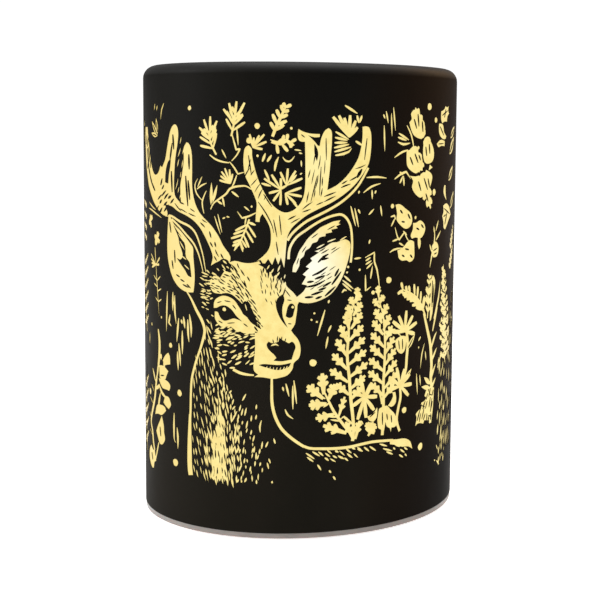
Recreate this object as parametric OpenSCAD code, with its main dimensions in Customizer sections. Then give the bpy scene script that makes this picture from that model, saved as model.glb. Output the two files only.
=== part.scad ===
// Oval television lamp: a matt black glass shade that stands over a shallow plinth
// and lifts off an E14 lampholder with a filament bulb.
// Frame: +Z up, X across the front, the decorated front faces -Y.
// Origin: centre of the oval, on the surface that the feet stand on.

/* [Shade] */
// Overall width of the oval, along X
body_w = 159; // [140:1:180]
// Overall depth of the oval, along Y
body_d = 135; // [120:1:150]
// Overall height, from the table to the crown
lamp_h = 220; // [200:1:240]
// Thickness of the glass wall
glass_wall = 3; // [2.5:0.1:4]
// Thickness of the black coating on the outside of the glass
coat_t = 0.2; // [0.15:0.05:0.3]
// Radius of the shoulder between the wall and the top
shoulder_r = 6.2; // [4:0.1:9]
// How far the middle of the top stands above the shoulder
crown_h = 1.2; // [0.5:0.1:3]

/* [Plinth] */
// Height that the rubber feet stand proud of the plinth
foot_proud = 1; // [0.5:0.1:1.5]
// Thickness of the rim that the glass stands on, the only part of the plinth in sight
rim_t = 2.4; // [2:0.1:3]
// Height of the deck that carries the lampholder
deck_z = 20; // [20:0.5:24]
// Wall thickness of the plinth moulding
moulding_t = 2.2; // [1.8:0.1:2.6]
// Gap between the plinth's skirt and the inside of the glass
skirt_gap = 0.8; // [0.5:0.1:1.2]
// Thickness of the cover under the plinth
cover_t = 1.8; // [1.6:0.1:2]
// Outer diameter of the rubber feet
foot_d = 12; // [10:0.5:14]
// Bore of the cable grommet
cable_bore_d = 5.5; // [5:0.1:6]

/* [Lampholder] */
// Height of the pillar between the deck and the lampholder
pillar_h = 16; // [12:1:20]
// Outer diameter of the lampholder's cap
holder_d = 27; // [25:0.5:29]
// Outside diameter of the threaded tube through the deck
tube_d = 10; // [10:0.5:12]

/* [Bulb] */
// Diameter of the ball of the bulb
ball_d = 45; // [40:1:47]
// Length of the bulb, from its contact to its top
bulb_len = 78; // [74:1:82]
// Number of filaments
filament_count = 4; // [2:1:6]

/* [Hidden] */

$fn = 96;
oval = body_d / body_w;              // depth over width, the same for every oval
outer_r = body_w / 2;                // semi-axis along X of the coated outside
glass_r = outer_r - coat_t;
bore_r = glass_r - glass_wall;
shade_z = foot_proud + rim_t;        // underside of the glass
skirt_r = bore_r - skirt_gap;
cavity_r = skirt_r - moulding_t;
cover_gap = 0.4;
cover_z = foot_proud + 0.2;          // underside of the cover
cover_top = cover_z + cover_t;
arc_steps = 8;                       // straight pieces in a quarter of a round shoulder
crown_steps = 5;                     // straight pieces from the shoulder to the middle of the top
ball_steps = 12;                     // half the straight pieces in the outline of the bulb's ball

// Cable inlet, at the rear of the skirt
inlet_z = 9.5;
inlet_head_r = 5.5;
inlet_neck_r = 4.3;
inlet_hole_r = inlet_neck_r + 0.1;
notch_r = inlet_head_r + 0.8;        // notch in the glass that drops over the grommet
notch_y = outer_r * oval - 12;
notch_l = 30;
band_z = inlet_z + notch_r + 2;
skirt_back_y = skirt_r * oval;       // outside of the skirt at the rear
skirt_inner_y = cavity_r * oval;

// Fastenings of the cover, and the feet
screw_x = 58;
screw_y = 22;
screw_r = 1.45;
screw_head_r = 2.8;
screw_l = 12;
boss_r = 4;
foot_x = 40;
foot_y = 42;
foot_recess = 0.9;

// Terminal block, hung under the deck behind the middle
block_y = 30;
block_w = 20;
block_l = 17;
block_h = 11;
block_pitch = 9;
block_top = deck_z - moulding_t;
barrel_z = block_top - 5.2;
fixing_r = 1.2;
fixing_head_r = 1.9;
lead_r = 1.1;

// Lampholder, stacked on the pillar
tube_bore_r = 3.9;
holder_z = deck_z + pillar_h;
cap_h = 17;
cap_wall = 1.8;
sleeve_z = holder_z + cap_h;
sleeve_h = 27;
sleeve_r = holder_d / 2 - 1.1;
sleeve_bore_r = 10;
spigot_l = 5;
core_r = sleeve_bore_r - 0.15;
core_z = 10.2;                       // underside of the core, above the cap's
core_h = 28;
core_flange_r = holder_d / 2 - 1.4;
core_flange_t = cap_h - spigot_l - core_z;
wire_hole_x = 6.5;
holder_screw_l = 4.4;                // short enough to stay inside the sleeve's spigot
contact_z = holder_z + 22;           // where the bulb's contact meets the holder's

// E14 round thread, made as an off-centre circle that turns as it rises
thread_pitch = 2.822;
thread_r = 6.545;
thread_throw = 0.4;
thread_play = 0.15;
thread_wall = 0.4;
thread_facets = 20;
rows_per_turn = 10;
cap_turns = 5;
shell_turns = 6;
cap_thread_z = contact_z + 6;
cap_thread_l = cap_turns * thread_pitch;
shell_thread_z = contact_z + 2.8;    // its last turn ends just below the bulb's collar

// Bulb
ball_r = ball_d / 2;
ball_z = contact_z + bulb_len - ball_r;
neck_r = 8.2;
neck_z = cap_thread_z + cap_thread_l + 5;
envelope_t = 0.8;
filament_r = 0.9;
filament_l = 24;
filament_ring = 8.5;
stem_z = neck_z + 0.3;
filament_z = ball_z - filament_l / 2 - 1;
bead_z = filament_z - 1.7;
bead_r = 2.8;
rod_r = 0.9;
wire_r = 0.25;

// Points of an arc about [cx, cy], from angle a to angle b
function arc(cx, cy, r, a, b, n = arc_steps) =
    [for (i = [0:n]) let (t = a + (b - a) * i / n) [cx + r * cos(t), cy + r * sin(t)]];

// Profile of a domed outside of semi-axis r and height h: a round shoulder, then a low crown
function dome(r, h, round_r, rise) = concat(
    arc(r - round_r, h - rise - round_r, round_r, 0, 90),
    [for (i = [1:crown_steps]) let (k = 1 - i / crown_steps) [(r - round_r) * k, h - rise * k * k]]
);

function reversed(list) = [for (i = [len(list) - 1:-1:0]) list[i]];

// A solid of revolution squeezed into the lamp's oval, turned as four quarters
module oval_turn(points) {
    scale([1, oval, 1]) for (a = [0:90:270]) rotate([0, 0, a]) rotate_extrude(angle = 90) polygon(points);
}

// A bell of revolution: an outer dome with an inner dome cut away, both standing on z0.
// The wall has a seam at band_z, above the notch that is cut in it.
module oval_bell(r_out, r_in, h_out, h_in, round_out, round_in, z0) {
    oval_turn(concat(
        [[r_out, z0], [r_out, band_z]], dome(r_out, h_out, round_out, crown_h),
        reversed(dome(r_in, h_in, round_in, crown_h)), [[r_in, band_z], [r_in, z0]]
    ));
}

// A flat oval plate
module oval_plate(r, z0, z1) {
    translate([0, 0, z0]) scale([1, oval, 1]) cylinder(r = r, h = z1 - z0);
}

// The four corners of a rectangle centred on the lamp
module at_corners(x, y) {
    for (sx = [-1, 1], sy = [-1, 1]) translate([sx * x, sy * y, 0]) children();
}

// A hollow cylinder
module ring(r_out, r_in, z0, z1) {
    translate([0, 0, z0]) difference() {
        cylinder(r = r_out, h = z1 - z0);
        translate([0, 0, -1]) cylinder(r = r_in, h = z1 - z0 + 2);
    }
}

// A screw with a cone head sunk flush with z0 and a shank that rises to z1
module sunk_screw(r, head_r, z0, z1, slot_w = 0.8) {
    difference() {
        union() {
            translate([0, 0, z0]) cylinder(r1 = head_r, r2 = r, h = head_r - r);
            translate([0, 0, z0]) cylinder(r = r, h = z1 - z0);
        }
        cross_slot(head_r * 0.62, slot_w, z0, 0.9);
    }
}

// The cross recess in a screw head whose face is at z, cut upwards
module cross_slot(reach, w, z, deep) {
    for (a = [0, 90]) rotate([0, 0, a])
        translate([-reach, -w / 2, z - 1]) cube([2 * reach, w, deep + 1]);
}

// The way past the grommet in the rear of the shade
module rear_notch() {
    translate([0, notch_y, inlet_z]) rotate([-90, 0, 0]) cylinder(r = notch_r, h = notch_l);
    translate([-notch_r, notch_y, shade_z - 5]) cube([2 * notch_r, notch_l, inlet_z - shade_z + 5]);
}

// Shade ---------------------------------------------------------------------

module glass_shade() {
    color("khaki") difference() {
        oval_bell(glass_r, bore_r, lamp_h - coat_t, lamp_h - coat_t - glass_wall,
                  shoulder_r - coat_t, shoulder_r - coat_t - glass_wall, shade_z);
        rear_notch();
    }
}

module black_coating() {
    color([0.09, 0.085, 0.08]) difference() {
        oval_bell(outer_r, glass_r, lamp_h, lamp_h - coat_t, shoulder_r, shoulder_r - coat_t, shade_z);
        rear_notch();
    }
}

// Plinth --------------------------------------------------------------------

module plinth() {
    color([0.8, 0.77, 0.75]) difference() {
        union() {
            difference() {
                union() {
                    oval_plate(glass_r, foot_proud, shade_z);
                    oval_plate(skirt_r, foot_proud, deck_z);
                }
                oval_plate(cavity_r, foot_proud - 1, block_top);
            }
            at_corners(screw_x, screw_y)
                translate([0, 0, cover_top]) cylinder(r = boss_r, h = block_top - cover_top + 0.5);
        }
        at_corners(screw_x, screw_y)
            translate([0, 0, cover_top - 1]) cylinder(r = screw_r + 0.05, h = screw_l);
        translate([0, 0, block_top - 1]) cylinder(d = tube_d + 0.2, h = moulding_t + 2);
        translate([0, skirt_inner_y - 6, inlet_z]) rotate([-90, 0, 0]) cylinder(r = inlet_hole_r, h = 12);
        translate([0, block_y, block_top - 1]) cylinder(r = fixing_r + 0.05, h = moulding_t + 2);
    }
}

module bottom_cover() {
    color([0.3, 0.3, 0.3]) difference() {
        oval_plate(cavity_r - cover_gap, cover_z, cover_top);
        at_corners(screw_x, screw_y) {
            translate([0, 0, cover_z - 1]) cylinder(r = screw_r + 0.2, h = cover_t + 2);
            translate([0, 0, cover_z])
                cylinder(r1 = screw_head_r + 0.1, r2 = screw_r + 0.1, h = screw_head_r - screw_r);
        }
        at_corners(foot_x, foot_y)
            translate([0, 0, cover_z - 1]) cylinder(d = foot_d + 0.2, h = foot_recess + 1);
    }
}

module cover_screws() {
    color("silver") at_corners(screw_x, screw_y)
        sunk_screw(screw_r, screw_head_r, cover_z + 0.05, cover_z + screw_l);
}

// A rubber foot in its recess, dished in the middle
module foot(x, y) {
    color([0.15, 0.15, 0.15]) translate([x, y, 0]) difference() {
        union() {
            cylinder(d1 = foot_d - 1.2, d2 = foot_d, h = 0.6);
            translate([0, 0, 0.6]) cylinder(d = foot_d, h = cover_z + foot_recess - 0.6);
        }
        translate([0, 0, -1]) cylinder(d = foot_d * 0.4, h = 1.4);
    }
}

module cable_grommet() {
    color([0.12, 0.12, 0.12]) translate([0, 0, inlet_z]) rotate([-90, 0, 0]) difference() {
        union() {
            translate([0, 0, skirt_inner_y - 2.2]) cylinder(r = inlet_head_r, h = 2);
            translate([0, 0, skirt_inner_y - 1]) cylinder(r = inlet_neck_r, h = moulding_t + 2);
            translate([0, 0, skirt_back_y + 0.1]) cylinder(r = inlet_head_r, h = 1);
            translate([0, 0, skirt_back_y + 1.1]) cylinder(r1 = inlet_head_r, r2 = inlet_head_r - 1, h = 1);
        }
        translate([0, 0, skirt_inner_y - 5]) cylinder(d = cable_bore_d, h = 15);
    }
}

// Terminal block, two poles side by side, its screws reached from below ------

module at_poles() {
    for (s = [-1, 1]) translate([s * block_pitch / 2, block_y, 0]) children();
}

module terminal_block() {
    color("ivory") difference() {
        union() {
            at_poles() translate([0, block_l / 2, barrel_z]) rotate([90, 0, 0])
                cylinder(r = 4.2, h = block_l);
            translate([-block_w / 2, block_y - block_l / 2, block_top - 4.5]) cube([block_w, block_l, 4.5]);
            at_poles() translate([0, 0, block_top - block_h]) cylinder(r = 3.4, h = block_h - 1);
        }
        at_poles() {
            translate([0, block_l / 2 + 1, barrel_z]) rotate([90, 0, 0])
                cylinder(r = 2.6, h = block_l + 2);
            translate([0, 0, block_top - block_h - 1]) cylinder(r = 1.9, h = block_h - 5);
        }
        translate([0, block_y, block_top - block_h]) cylinder(r = fixing_r + 0.1, h = block_h + 1);
        translate([0, block_y, block_top - block_h]) cylinder(r = fixing_head_r + 0.2, h = block_h - 3);
    }
}

module terminal_barrels() {
    color("goldenrod") at_poles() difference() {
        translate([0, block_l / 2 - 2, barrel_z]) rotate([90, 0, 0]) cylinder(r = 2.5, h = block_l - 4);
        translate([0, block_l / 2, barrel_z]) rotate([90, 0, 0]) cylinder(r = 1.6, h = block_l);
        translate([0, 0, barrel_z - 4]) cylinder(r = 1.35, h = 4);
    }
}

module terminal_screws() {
    color("silver") at_poles() difference() {
        translate([0, 0, barrel_z - 4.2]) cylinder(r = 1.25, h = 3.2);
        translate([-2, -0.3, barrel_z - 5]) cube([4, 0.6, 1.4]);
    }
}

module terminal_block_fixing() {
    color("silver") translate([0, block_y, 0]) difference() {
        union() {
            translate([0, 0, block_top - 4.6]) cylinder(r = fixing_head_r, h = 1.5);
            translate([0, 0, block_top - 3.5]) cylinder(r = fixing_r, h = 4.5);
        }
        cross_slot(1.3, 0.6, block_top - 4.6, 0.8);
    }
}

// Leads from the terminal block up the threaded tube to the lampholder -------

// Unit vector along a route at point i
function along(route, i) =
    let (a = route[max(i - 1, 0)], b = route[min(i + 1, len(route) - 1)], d = b - a) d / norm(d);

// A point on the smooth curve through a route, t between points i and i + 1
function on_curve(route, i, t) =
    let (p0 = route[max(i - 1, 0)], p1 = route[i], p2 = route[i + 1], p3 = route[min(i + 2, len(route) - 1)])
    0.5 * (2 * p1 + (p2 - p0) * t + (2 * p0 - 5 * p1 + 4 * p2 - p3) * t * t
        + (3 * p1 - p0 - 3 * p2 + p3) * t * t * t);

function smooth_route(route, n = 3) = concat(
    [for (i = [0:len(route) - 2], k = [0:n - 1]) on_curve(route, i, k / n)], [route[len(route) - 1]]);

// A round tube swept along a route, its rings turned from the X axis, which no route follows
module sweep(route, r, sides = 8) {
    rings = [for (i = [0:len(route) - 1])
        let (d = along(route, i), side = cross(d, [1, 0, 0]), u = side / norm(side), v = cross(d, u))
        [for (s = [0:sides - 1]) route[i] + r * (cos(360 * s / sides) * u + sin(360 * s / sides) * v)]];
    last = len(route) - 1;
    polyhedron(
        [for (ring = rings) each ring],
        concat(
            [[for (s = [0:sides - 1]) s]],
            [for (i = [0:last - 1], s = [0:sides - 1])
                let (a = i * sides + s, b = i * sides + (s + 1) % sides) [a, a + sides, b + sides, b]],
            [[for (s = [sides - 1:-1:0]) last * sides + s]]
        )
    );
}

// Route of a lead on side s of the middle
function lead_route(s) = [
    [s * 4.5, 27, barrel_z], [s * 4.5, 21, barrel_z], [s * 4.5, 16, barrel_z - 1],
    [s * 4, 10, barrel_z - 3.5], [s * 2.8, 4.5, barrel_z - 4.5], [s * 1.8, 1, barrel_z - 1],
    [s * 1.6, 0, barrel_z + 6], [s * 1.6, 0, barrel_z + 14], [s * 1.6, 0, holder_z - 2],
    [s * 2.2, 0, holder_z + 5.5], [s * 5.4, 0, holder_z + 9], [s * 6.5, 0, holder_z + 11.5],
    [s * 6.5, 0, holder_z + 17]
];

module live_lead() {
    color("saddlebrown") sweep(smooth_route(lead_route(-1)), lead_r);
}

module neutral_lead() {
    color("royalblue") sweep(smooth_route(lead_route(1)), lead_r);
}

// Pillar --------------------------------------------------------------------

module threaded_tube() {
    color("silver") ring(tube_d / 2, tube_bore_r, block_top - 4.5, holder_z + 5);
}

// Hexagon nuts on the tube: one under the deck and one inside the lampholder's cap
module tube_nuts() {
    color("silver") for (z = [block_top - 3.6, holder_z + cap_wall]) translate([0, 0, z]) difference() {
        cylinder(d = 16, h = 2.6, $fn = 6);
        translate([0, 0, -1]) cylinder(d = tube_d + 0.1, h = 5);
    }
}

module lock_washer() {
    color("dimgray") ring(8, tube_d / 2 + 0.1, block_top - 0.9, block_top);
}

module pillar() {
    color("dimgray") translate([0, 0, deck_z]) difference() {
        union() {
            cylinder(r = 10, h = 2);
            cylinder(r = 7.5, h = pillar_h);
            translate([0, 0, pillar_h - 1.5]) cylinder(r = 9, h = 1.5);
        }
        translate([0, 0, -1]) cylinder(d = tube_d + 0.2, h = pillar_h + 2);
    }
}

// Lampholder ----------------------------------------------------------------

// The cap, ribbed for the fingers, with a ledge inside that the core rests on
module holder_cap() {
    color([0.93, 0.92, 0.88]) translate([0, 0, holder_z]) difference() {
        union() {
            cylinder(r1 = holder_d / 2 - 2.5, r2 = holder_d / 2 - 0.5, h = 2.5);
            translate([0, 0, 2.5]) cylinder(r = holder_d / 2 - 0.5, h = cap_h - 2.5);
            for (a = [0:20:340]) rotate([0, 0, a])
                translate([holder_d / 2 - 0.7, 0, 4]) cylinder(r = 0.7, h = cap_h - 6);
        }
        translate([0, 0, cap_wall]) cylinder(r = core_flange_r - 1.2, h = cap_h);
        translate([0, 0, core_z]) cylinder(r = sleeve_r - 0.1, h = cap_h);
        translate([0, 0, -1]) cylinder(d = tube_d + 0.1, h = 5);
    }
}

// The sleeve round the screw shell; its spigot holds the core down in the cap
module holder_sleeve() {
    color([0.93, 0.92, 0.88]) translate([0, 0, sleeve_z]) difference() {
        union() {
            cylinder(r = sleeve_r, h = sleeve_h);
            cylinder(r = holder_d / 2, h = 2);
            translate([0, 0, sleeve_h - 2.5]) cylinder(r = sleeve_r + 0.6, h = 2);
            translate([0, 0, -spigot_l]) cylinder(r = sleeve_r - 0.3, h = spigot_l + 1);
        }
        translate([0, 0, -spigot_l - 1]) cylinder(r = sleeve_bore_r, h = sleeve_h + spigot_l + 2);
    }
}

// The moulded core that carries the screw shell and the contacts
module holder_core() {
    color("ivory") translate([0, 0, holder_z]) difference() {
        union() {
            translate([0, 0, core_z]) cylinder(r = core_r, h = core_h);
            translate([0, 0, core_z]) cylinder(r = core_flange_r, h = core_flange_t);
        }
        translate([0, 0, shell_thread_z - holder_z - 0.5]) cylinder(r = 8.2, h = 30);
        translate([0, 0, contact_z - holder_z - 1.3]) cylinder(r = 5.5, h = 30);
        for (s = [-1, 1]) {
            translate([s * wire_hole_x, 0, core_z - 1]) cylinder(r = 1.7, h = 9.5);
            translate([s * wire_hole_x, -12, core_z + 5.8]) rotate([-90, 0, 0]) cylinder(r = 1.6, h = 11);
        }
    }
}

// One loop of a threaded wall: a circle whose centre goes round once for each pitch it rises
function thread_loop(r, z) =
    let (turn = 360 * (z - contact_z) / thread_pitch)
    [for (k = [0:thread_facets - 1]) let (t = 360 * k / thread_facets)
        [thread_throw * cos(turn) + r * cos(t), thread_throw * sin(turn) + r * sin(t), z]];

// Quads between the loops at rows i and j of a list of loops
function band(i, j) =
    [for (k = [0:thread_facets - 1]) let (m = (k + 1) % thread_facets)
        [i * thread_facets + k, j * thread_facets + k, j * thread_facets + m, i * thread_facets + m]];

// A tube with a round thread on both sides, closed by flat ends
module thread(r_out, r_in, z0, turns) {
    rows = turns * rows_per_turn;
    dz = thread_pitch / rows_per_turn;
    polyhedron(
        concat(
            [for (i = [0:rows]) each thread_loop(r_out, z0 + i * dz)],
            [for (i = [rows:-1:0]) each thread_loop(r_in, z0 + i * dz)]
        ),
        [for (i = [0:2 * rows + 1]) each band(i, (i + 1) % (2 * rows + 2))]
    );
}

module holder_screw_shell() {
    r = thread_r + thread_play;
    color("goldenrod") thread(r + thread_wall, r, shell_thread_z, shell_turns);
}

// The springy centre contact, a flat strip bent up to a pad under the bulb
module holder_centre_contact() {
    color("goldenrod") {
        translate([-2, -4.9, contact_z - 1.2]) cube([4, 4.9, 0.4]);
        translate([0, 0, contact_z - 1.2]) cylinder(r = 2.2, h = 1.15);
    }
}

// The side contact, a strip that stands beside the screw shell
module holder_side_contact() {
    color("goldenrod") translate([7.6, -1.5, shell_thread_z + 1]) cube([0.45, 3, 13]);
}

module holder_terminal_screws() {
    color("silver") for (s = [-1, 1])
        translate([s * wire_hole_x, -1.3, holder_z + core_z + 5.8]) rotate([90, 0, 0]) difference() {
            cylinder(r = 1.45, h = holder_screw_l);
            translate([-2, -0.3, holder_screw_l - 0.8]) cube([4, 0.6, 2]);
        }
}

// Bulb ----------------------------------------------------------------------

module bulb_contact() {
    color("silver") translate([0, 0, contact_z]) {
        cylinder(r1 = 1.4, r2 = 2.4, h = 0.8);
        translate([0, 0, 0.8]) cylinder(r = 2.4, h = 0.8);
    }
}

module bulb_insulator() {
    color([0.08, 0.08, 0.08]) translate([0, 0, contact_z + 1.6])
        cylinder(r1 = 3.2, r2 = 5.6, h = cap_thread_z - contact_z - 1.6);
}

module bulb_cap() {
    r = thread_r - thread_play;
    color("silver") thread(r, r - thread_wall, cap_thread_z, cap_turns);
}

// The smooth collar between the threaded cap and the glass
module bulb_collar() {
    z0 = cap_thread_z + cap_thread_l;
    color("silver") rotate_extrude() polygon([
        [5.7, z0], [6.3, z0], [6.9, z0 + 1.2], [neck_r, neck_z - 1], [neck_r, neck_z + 2],
        [neck_r - 0.4, neck_z + 2], [neck_r - 0.4, neck_z - 1], [6.4, z0 + 1.6], [5.7, z0 + 0.6]
    ]);
}

// Outside of the ball and its neck, d inwards from the glass surface, from the neck upwards
function ball_outline(d) =
    let (r = ball_r - d, join = -46, neck = neck_r - 0.5 - d)
    concat(
        [[neck, neck_z + 0.2], [neck, neck_z + 3], [neck + 1.2, neck_z + 7]],
        [for (i = [0:2 * ball_steps]) let (t = join + (90 - join) * i / (2 * ball_steps))
            [r * cos(t), ball_z + r * sin(t)]]
    );

module bulb_envelope() {
    color([0.95, 0.95, 0.9, 0.4]) rotate_extrude()
        polygon(concat(ball_outline(0), reversed(ball_outline(envelope_t))));
}

// The glass stem, flared out to the neck, with a bead and a rod that holds the filaments
module bulb_stem() {
    color([0.9, 0.9, 0.9, 0.5]) {
        translate([0, 0, stem_z]) cylinder(r1 = neck_r - 0.55 - envelope_t, r2 = 2.2, h = 8);
        translate([0, 0, stem_z + 8]) cylinder(r = 2.2, h = bead_z - stem_z - 8);
        translate([0, 0, bead_z]) sphere(r = bead_r, $fn = 32);
        translate([0, 0, bead_z]) cylinder(r = rod_r, h = filament_z + filament_l + 1.2 - bead_z);
    }
}

// Places something on each filament's spot round the stem, leaning slightly inwards at the top
module at_filaments() {
    for (i = [0:filament_count - 1]) rotate([0, 0, 45 + 360 * i / filament_count])
        translate([filament_ring, 0, filament_z]) rotate([0, -8, 0]) children();
}

module bulb_filaments() {
    color("gold") at_filaments() cylinder(r = filament_r, h = filament_l, $fn = 24);
}

// Wires at both ends of each filament, joined to the bead and to the top of the rod
module bulb_filament_wires() {
    color("silver") {
        at_filaments() {
            translate([0, 0, filament_l]) cylinder(r = wire_r, h = 1.2, $fn = 16);
            translate([0, 0, -1.4]) cylinder(r = wire_r, h = 1.4, $fn = 16);
        }
        wire_star(bead_z, bead_r + 0.02, filament_ring + 0.2);
        wire_star(filament_z + filament_l + 0.6, rod_r + 0.02, filament_ring - 3.4);
    }
}

// A ring at height z with a spoke to each filament, from r_in
module wire_star(z, r_in, r_out) {
    translate([0, 0, z - 0.3]) ring(r_out + 0.3, r_out - 0.3, 0, 0.6);
    for (i = [0:filament_count - 1]) rotate([0, 0, 45 + 360 * i / filament_count])
        translate([r_in, 0, z]) rotate([0, 90, 0]) cylinder(r = wire_r, h = r_out - r_in, $fn = 16);
}

module bulb_driver_board() {
    color("darkgreen") translate([-4.2, -0.6, cap_thread_z + 1]) cube([8.4, 1.2, 15]);
}

glass_shade();
black_coating();
plinth();
bottom_cover();
cover_screws();
foot(-foot_x, -foot_y);  // foot_front_left
foot(foot_x, -foot_y);  // foot_front_right
foot(-foot_x, foot_y);  // foot_rear_left
foot(foot_x, foot_y);  // foot_rear_right
cable_grommet();
terminal_block();
terminal_barrels();
terminal_screws();
terminal_block_fixing();
live_lead();
neutral_lead();
threaded_tube();
tube_nuts();
lock_washer();
pillar();
holder_cap();
holder_sleeve();
holder_core();
holder_screw_shell();
holder_centre_contact();
holder_side_contact();
holder_terminal_screws();
bulb_contact();
bulb_cap();
bulb_collar();
bulb_insulator();
bulb_envelope();
bulb_stem();
bulb_filaments();
bulb_filament_wires();
bulb_driver_board();
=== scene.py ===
"""Television lamp: the looks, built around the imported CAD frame.

The shade's coating is rebuilt here as one closed skin with the woodland drawing cut right through it,
so that the lit glass shows in the openings. Every other CAD node keeps its mesh and gets a material.
The drawing lives on the unrolled wall: u runs along the oval from the middle of the front, positive to
the right, z is the height above the table, and both are in millimetres.
"""
import math
import random

import bpy
import numpy as np
from mathutils import Matrix, Vector
from mathutils.geometry import delaunay_2d_cdt


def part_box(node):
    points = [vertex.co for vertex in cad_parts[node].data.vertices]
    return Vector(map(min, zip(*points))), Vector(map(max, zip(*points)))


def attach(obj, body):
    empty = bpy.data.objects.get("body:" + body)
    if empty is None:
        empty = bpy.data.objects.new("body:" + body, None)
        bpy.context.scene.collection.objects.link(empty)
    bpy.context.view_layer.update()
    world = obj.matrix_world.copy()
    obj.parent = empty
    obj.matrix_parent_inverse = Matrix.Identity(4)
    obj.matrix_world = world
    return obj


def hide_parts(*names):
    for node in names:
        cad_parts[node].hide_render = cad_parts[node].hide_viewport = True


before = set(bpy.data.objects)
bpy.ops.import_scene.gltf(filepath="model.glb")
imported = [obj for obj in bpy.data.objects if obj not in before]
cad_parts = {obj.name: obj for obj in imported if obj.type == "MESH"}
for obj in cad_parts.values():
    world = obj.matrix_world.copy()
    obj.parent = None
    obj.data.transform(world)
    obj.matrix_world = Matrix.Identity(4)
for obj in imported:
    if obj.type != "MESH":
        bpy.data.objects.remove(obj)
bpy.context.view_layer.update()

MM = 0.001

# --- the drawing: brushes --------------------------------------------------------------------------

GOLD, BLACK = 1, 0
CORNER = 62        # degrees; a route that bends more than this keeps its corner
TINY = 1e-6        # stands in for a length of nothing
shapes = []        # (tone, closed outline), painted in this order


def points(text):
    """The points of a route or an outline, written as "u,z u,z ..."."""
    return [tuple(float(v) for v in item.split(",")) for item in text.split()]


def routes(text):
    """Several routes, each written "u,z>u,z" with as many points as it needs."""
    return [points(item.replace(">", " ")) for item in text.split()]


def tangent(before, here, after):
    """The direction of a route at one of its points, or zeros where it has a corner."""
    ax, az = here[0] - before[0], here[1] - before[1]
    bx, bz = after[0] - here[0], after[1] - here[1]
    la, lb = math.hypot(ax, az) or TINY, math.hypot(bx, bz) or TINY
    turn = math.degrees(math.acos(max(-1.0, min(1.0, (ax * bx + az * bz) / la / lb))))
    if turn > CORNER:
        return 0.0, 0.0
    tx, tz = ax / la + bx / lb, az / la + bz / lb
    length = math.hypot(tx, tz) or TINY
    return tx / length, tz / length


def curve(route, closed=False, steps=3):
    """A smooth line through a route's points, which keeps the corners."""
    n = len(route)
    tangents = [tangent(route[(i - 1) % n], route[i], route[(i + 1) % n]) for i in range(n)]
    if not closed:
        tangents[0] = tangents[-1] = (0.0, 0.0)
    path = []
    for i in range(n if closed else n - 1):
        (x0, z0), (x1, z1) = route[i], route[(i + 1) % n]
        chord = math.hypot(x1 - x0, z1 - z0)
        t0, t1 = tangents[i], tangents[(i + 1) % n]
        for k in range(steps):
            t = k / steps
            h0, h1 = 2 * t**3 - 3 * t**2 + 1, t**3 - 2 * t**2 + t
            h2, h3 = 3 * t**2 - 2 * t**3, t**3 - t**2
            path.append((h0 * x0 + h1 * chord * t0[0] + h2 * x1 + h3 * chord * t1[0],
                         h0 * z0 + h1 * chord * t0[1] + h2 * z1 + h3 * chord * t1[1]))
    if not closed:
        path.append(route[-1])
    return path


def area(tone, text):
    """A filled shape with a smooth outline."""
    shapes.append((tone, curve(points(text), closed=True)))


def facet(tone, text):
    """A filled shape with straight sides."""
    shapes.append((tone, points(text)))


def brush(tone, route, width, start=0.25, end=0.1, belly=0.45, steps=3):
    """A stroke along a route. Its ends are start and end times width wide; belly is where it is widest."""
    if len(route) > 2:
        path = curve(route, steps=steps)
    else:
        path = [tuple(route[0][a] + (route[1][a] - route[0][a]) * t for a in (0, 1))
                for t in (0, 0.25, 0.5, 0.75, 1)]
    run = [0.0]
    for a, b in zip(path, path[1:]):
        run.append(run[-1] + math.hypot(b[0] - a[0], b[1] - a[1]))
    total = run[-1] or TINY
    left, right = [], []
    last = len(path) - 1
    for i, (x, z) in enumerate(path):
        a, b = path[max(i - 1, 0)], path[min(i + 1, last)]
        dx, dz = b[0] - a[0], b[1] - a[1]
        length = math.hypot(dx, dz) or TINY
        t = run[i] / total
        rise = t / belly if t < belly else (1 - t) / (1 - belly)
        foot = start if t < belly else end
        half = 0.5 * width * (foot + (1 - foot) * math.sin(rise * math.pi / 2))
        nx, nz = -dz / length * half, dx / length * half
        left.append((x + nx, z + nz))
        right.append((x - nx, z - nz))
    shapes.append((tone, left + right[::-1]))


def stroke(tone, width, text, start=0.25, end=0.1):
    """A brush stroke whose route is written as text."""
    brush(tone, points(text), width, start, end)


def line(tone, width, text, end=1.0):
    """An even line that is cut off straight, or tapers to end times its width."""
    brush(tone, points(text), width, 1.0, end, 0.3)


def strokes(tone, width, text, start=0.45):
    """Several strokes of one width."""
    for route in routes(text):
        brush(tone, route, width, start, 0.3)


def dot(tone, u, z, r, sides=12):
    """A round dot, cut by hand, so not quite round."""
    outline = []
    for k in range(sides):
        a = 2 * math.pi * k / sides
        outline.append((u + r * (1 + 0.07 * math.sin(3 * a + u)) * math.cos(a),
                        z + r * (1 + 0.07 * math.cos(2 * a + z)) * math.sin(a)))
    shapes.append((tone, outline))


def dots(text):
    """Several gold dots, each written "u,z,radius"."""
    for u, z, r in points(text):
        dot(GOLD, u, z, r)


def fan(base, tips, width, root=0.35):
    """Needles that spread from one base to several tips."""
    for tip in points(tips):
        brush(GOLD, [base, tip], width, root, 0.7, 0.72)


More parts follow.
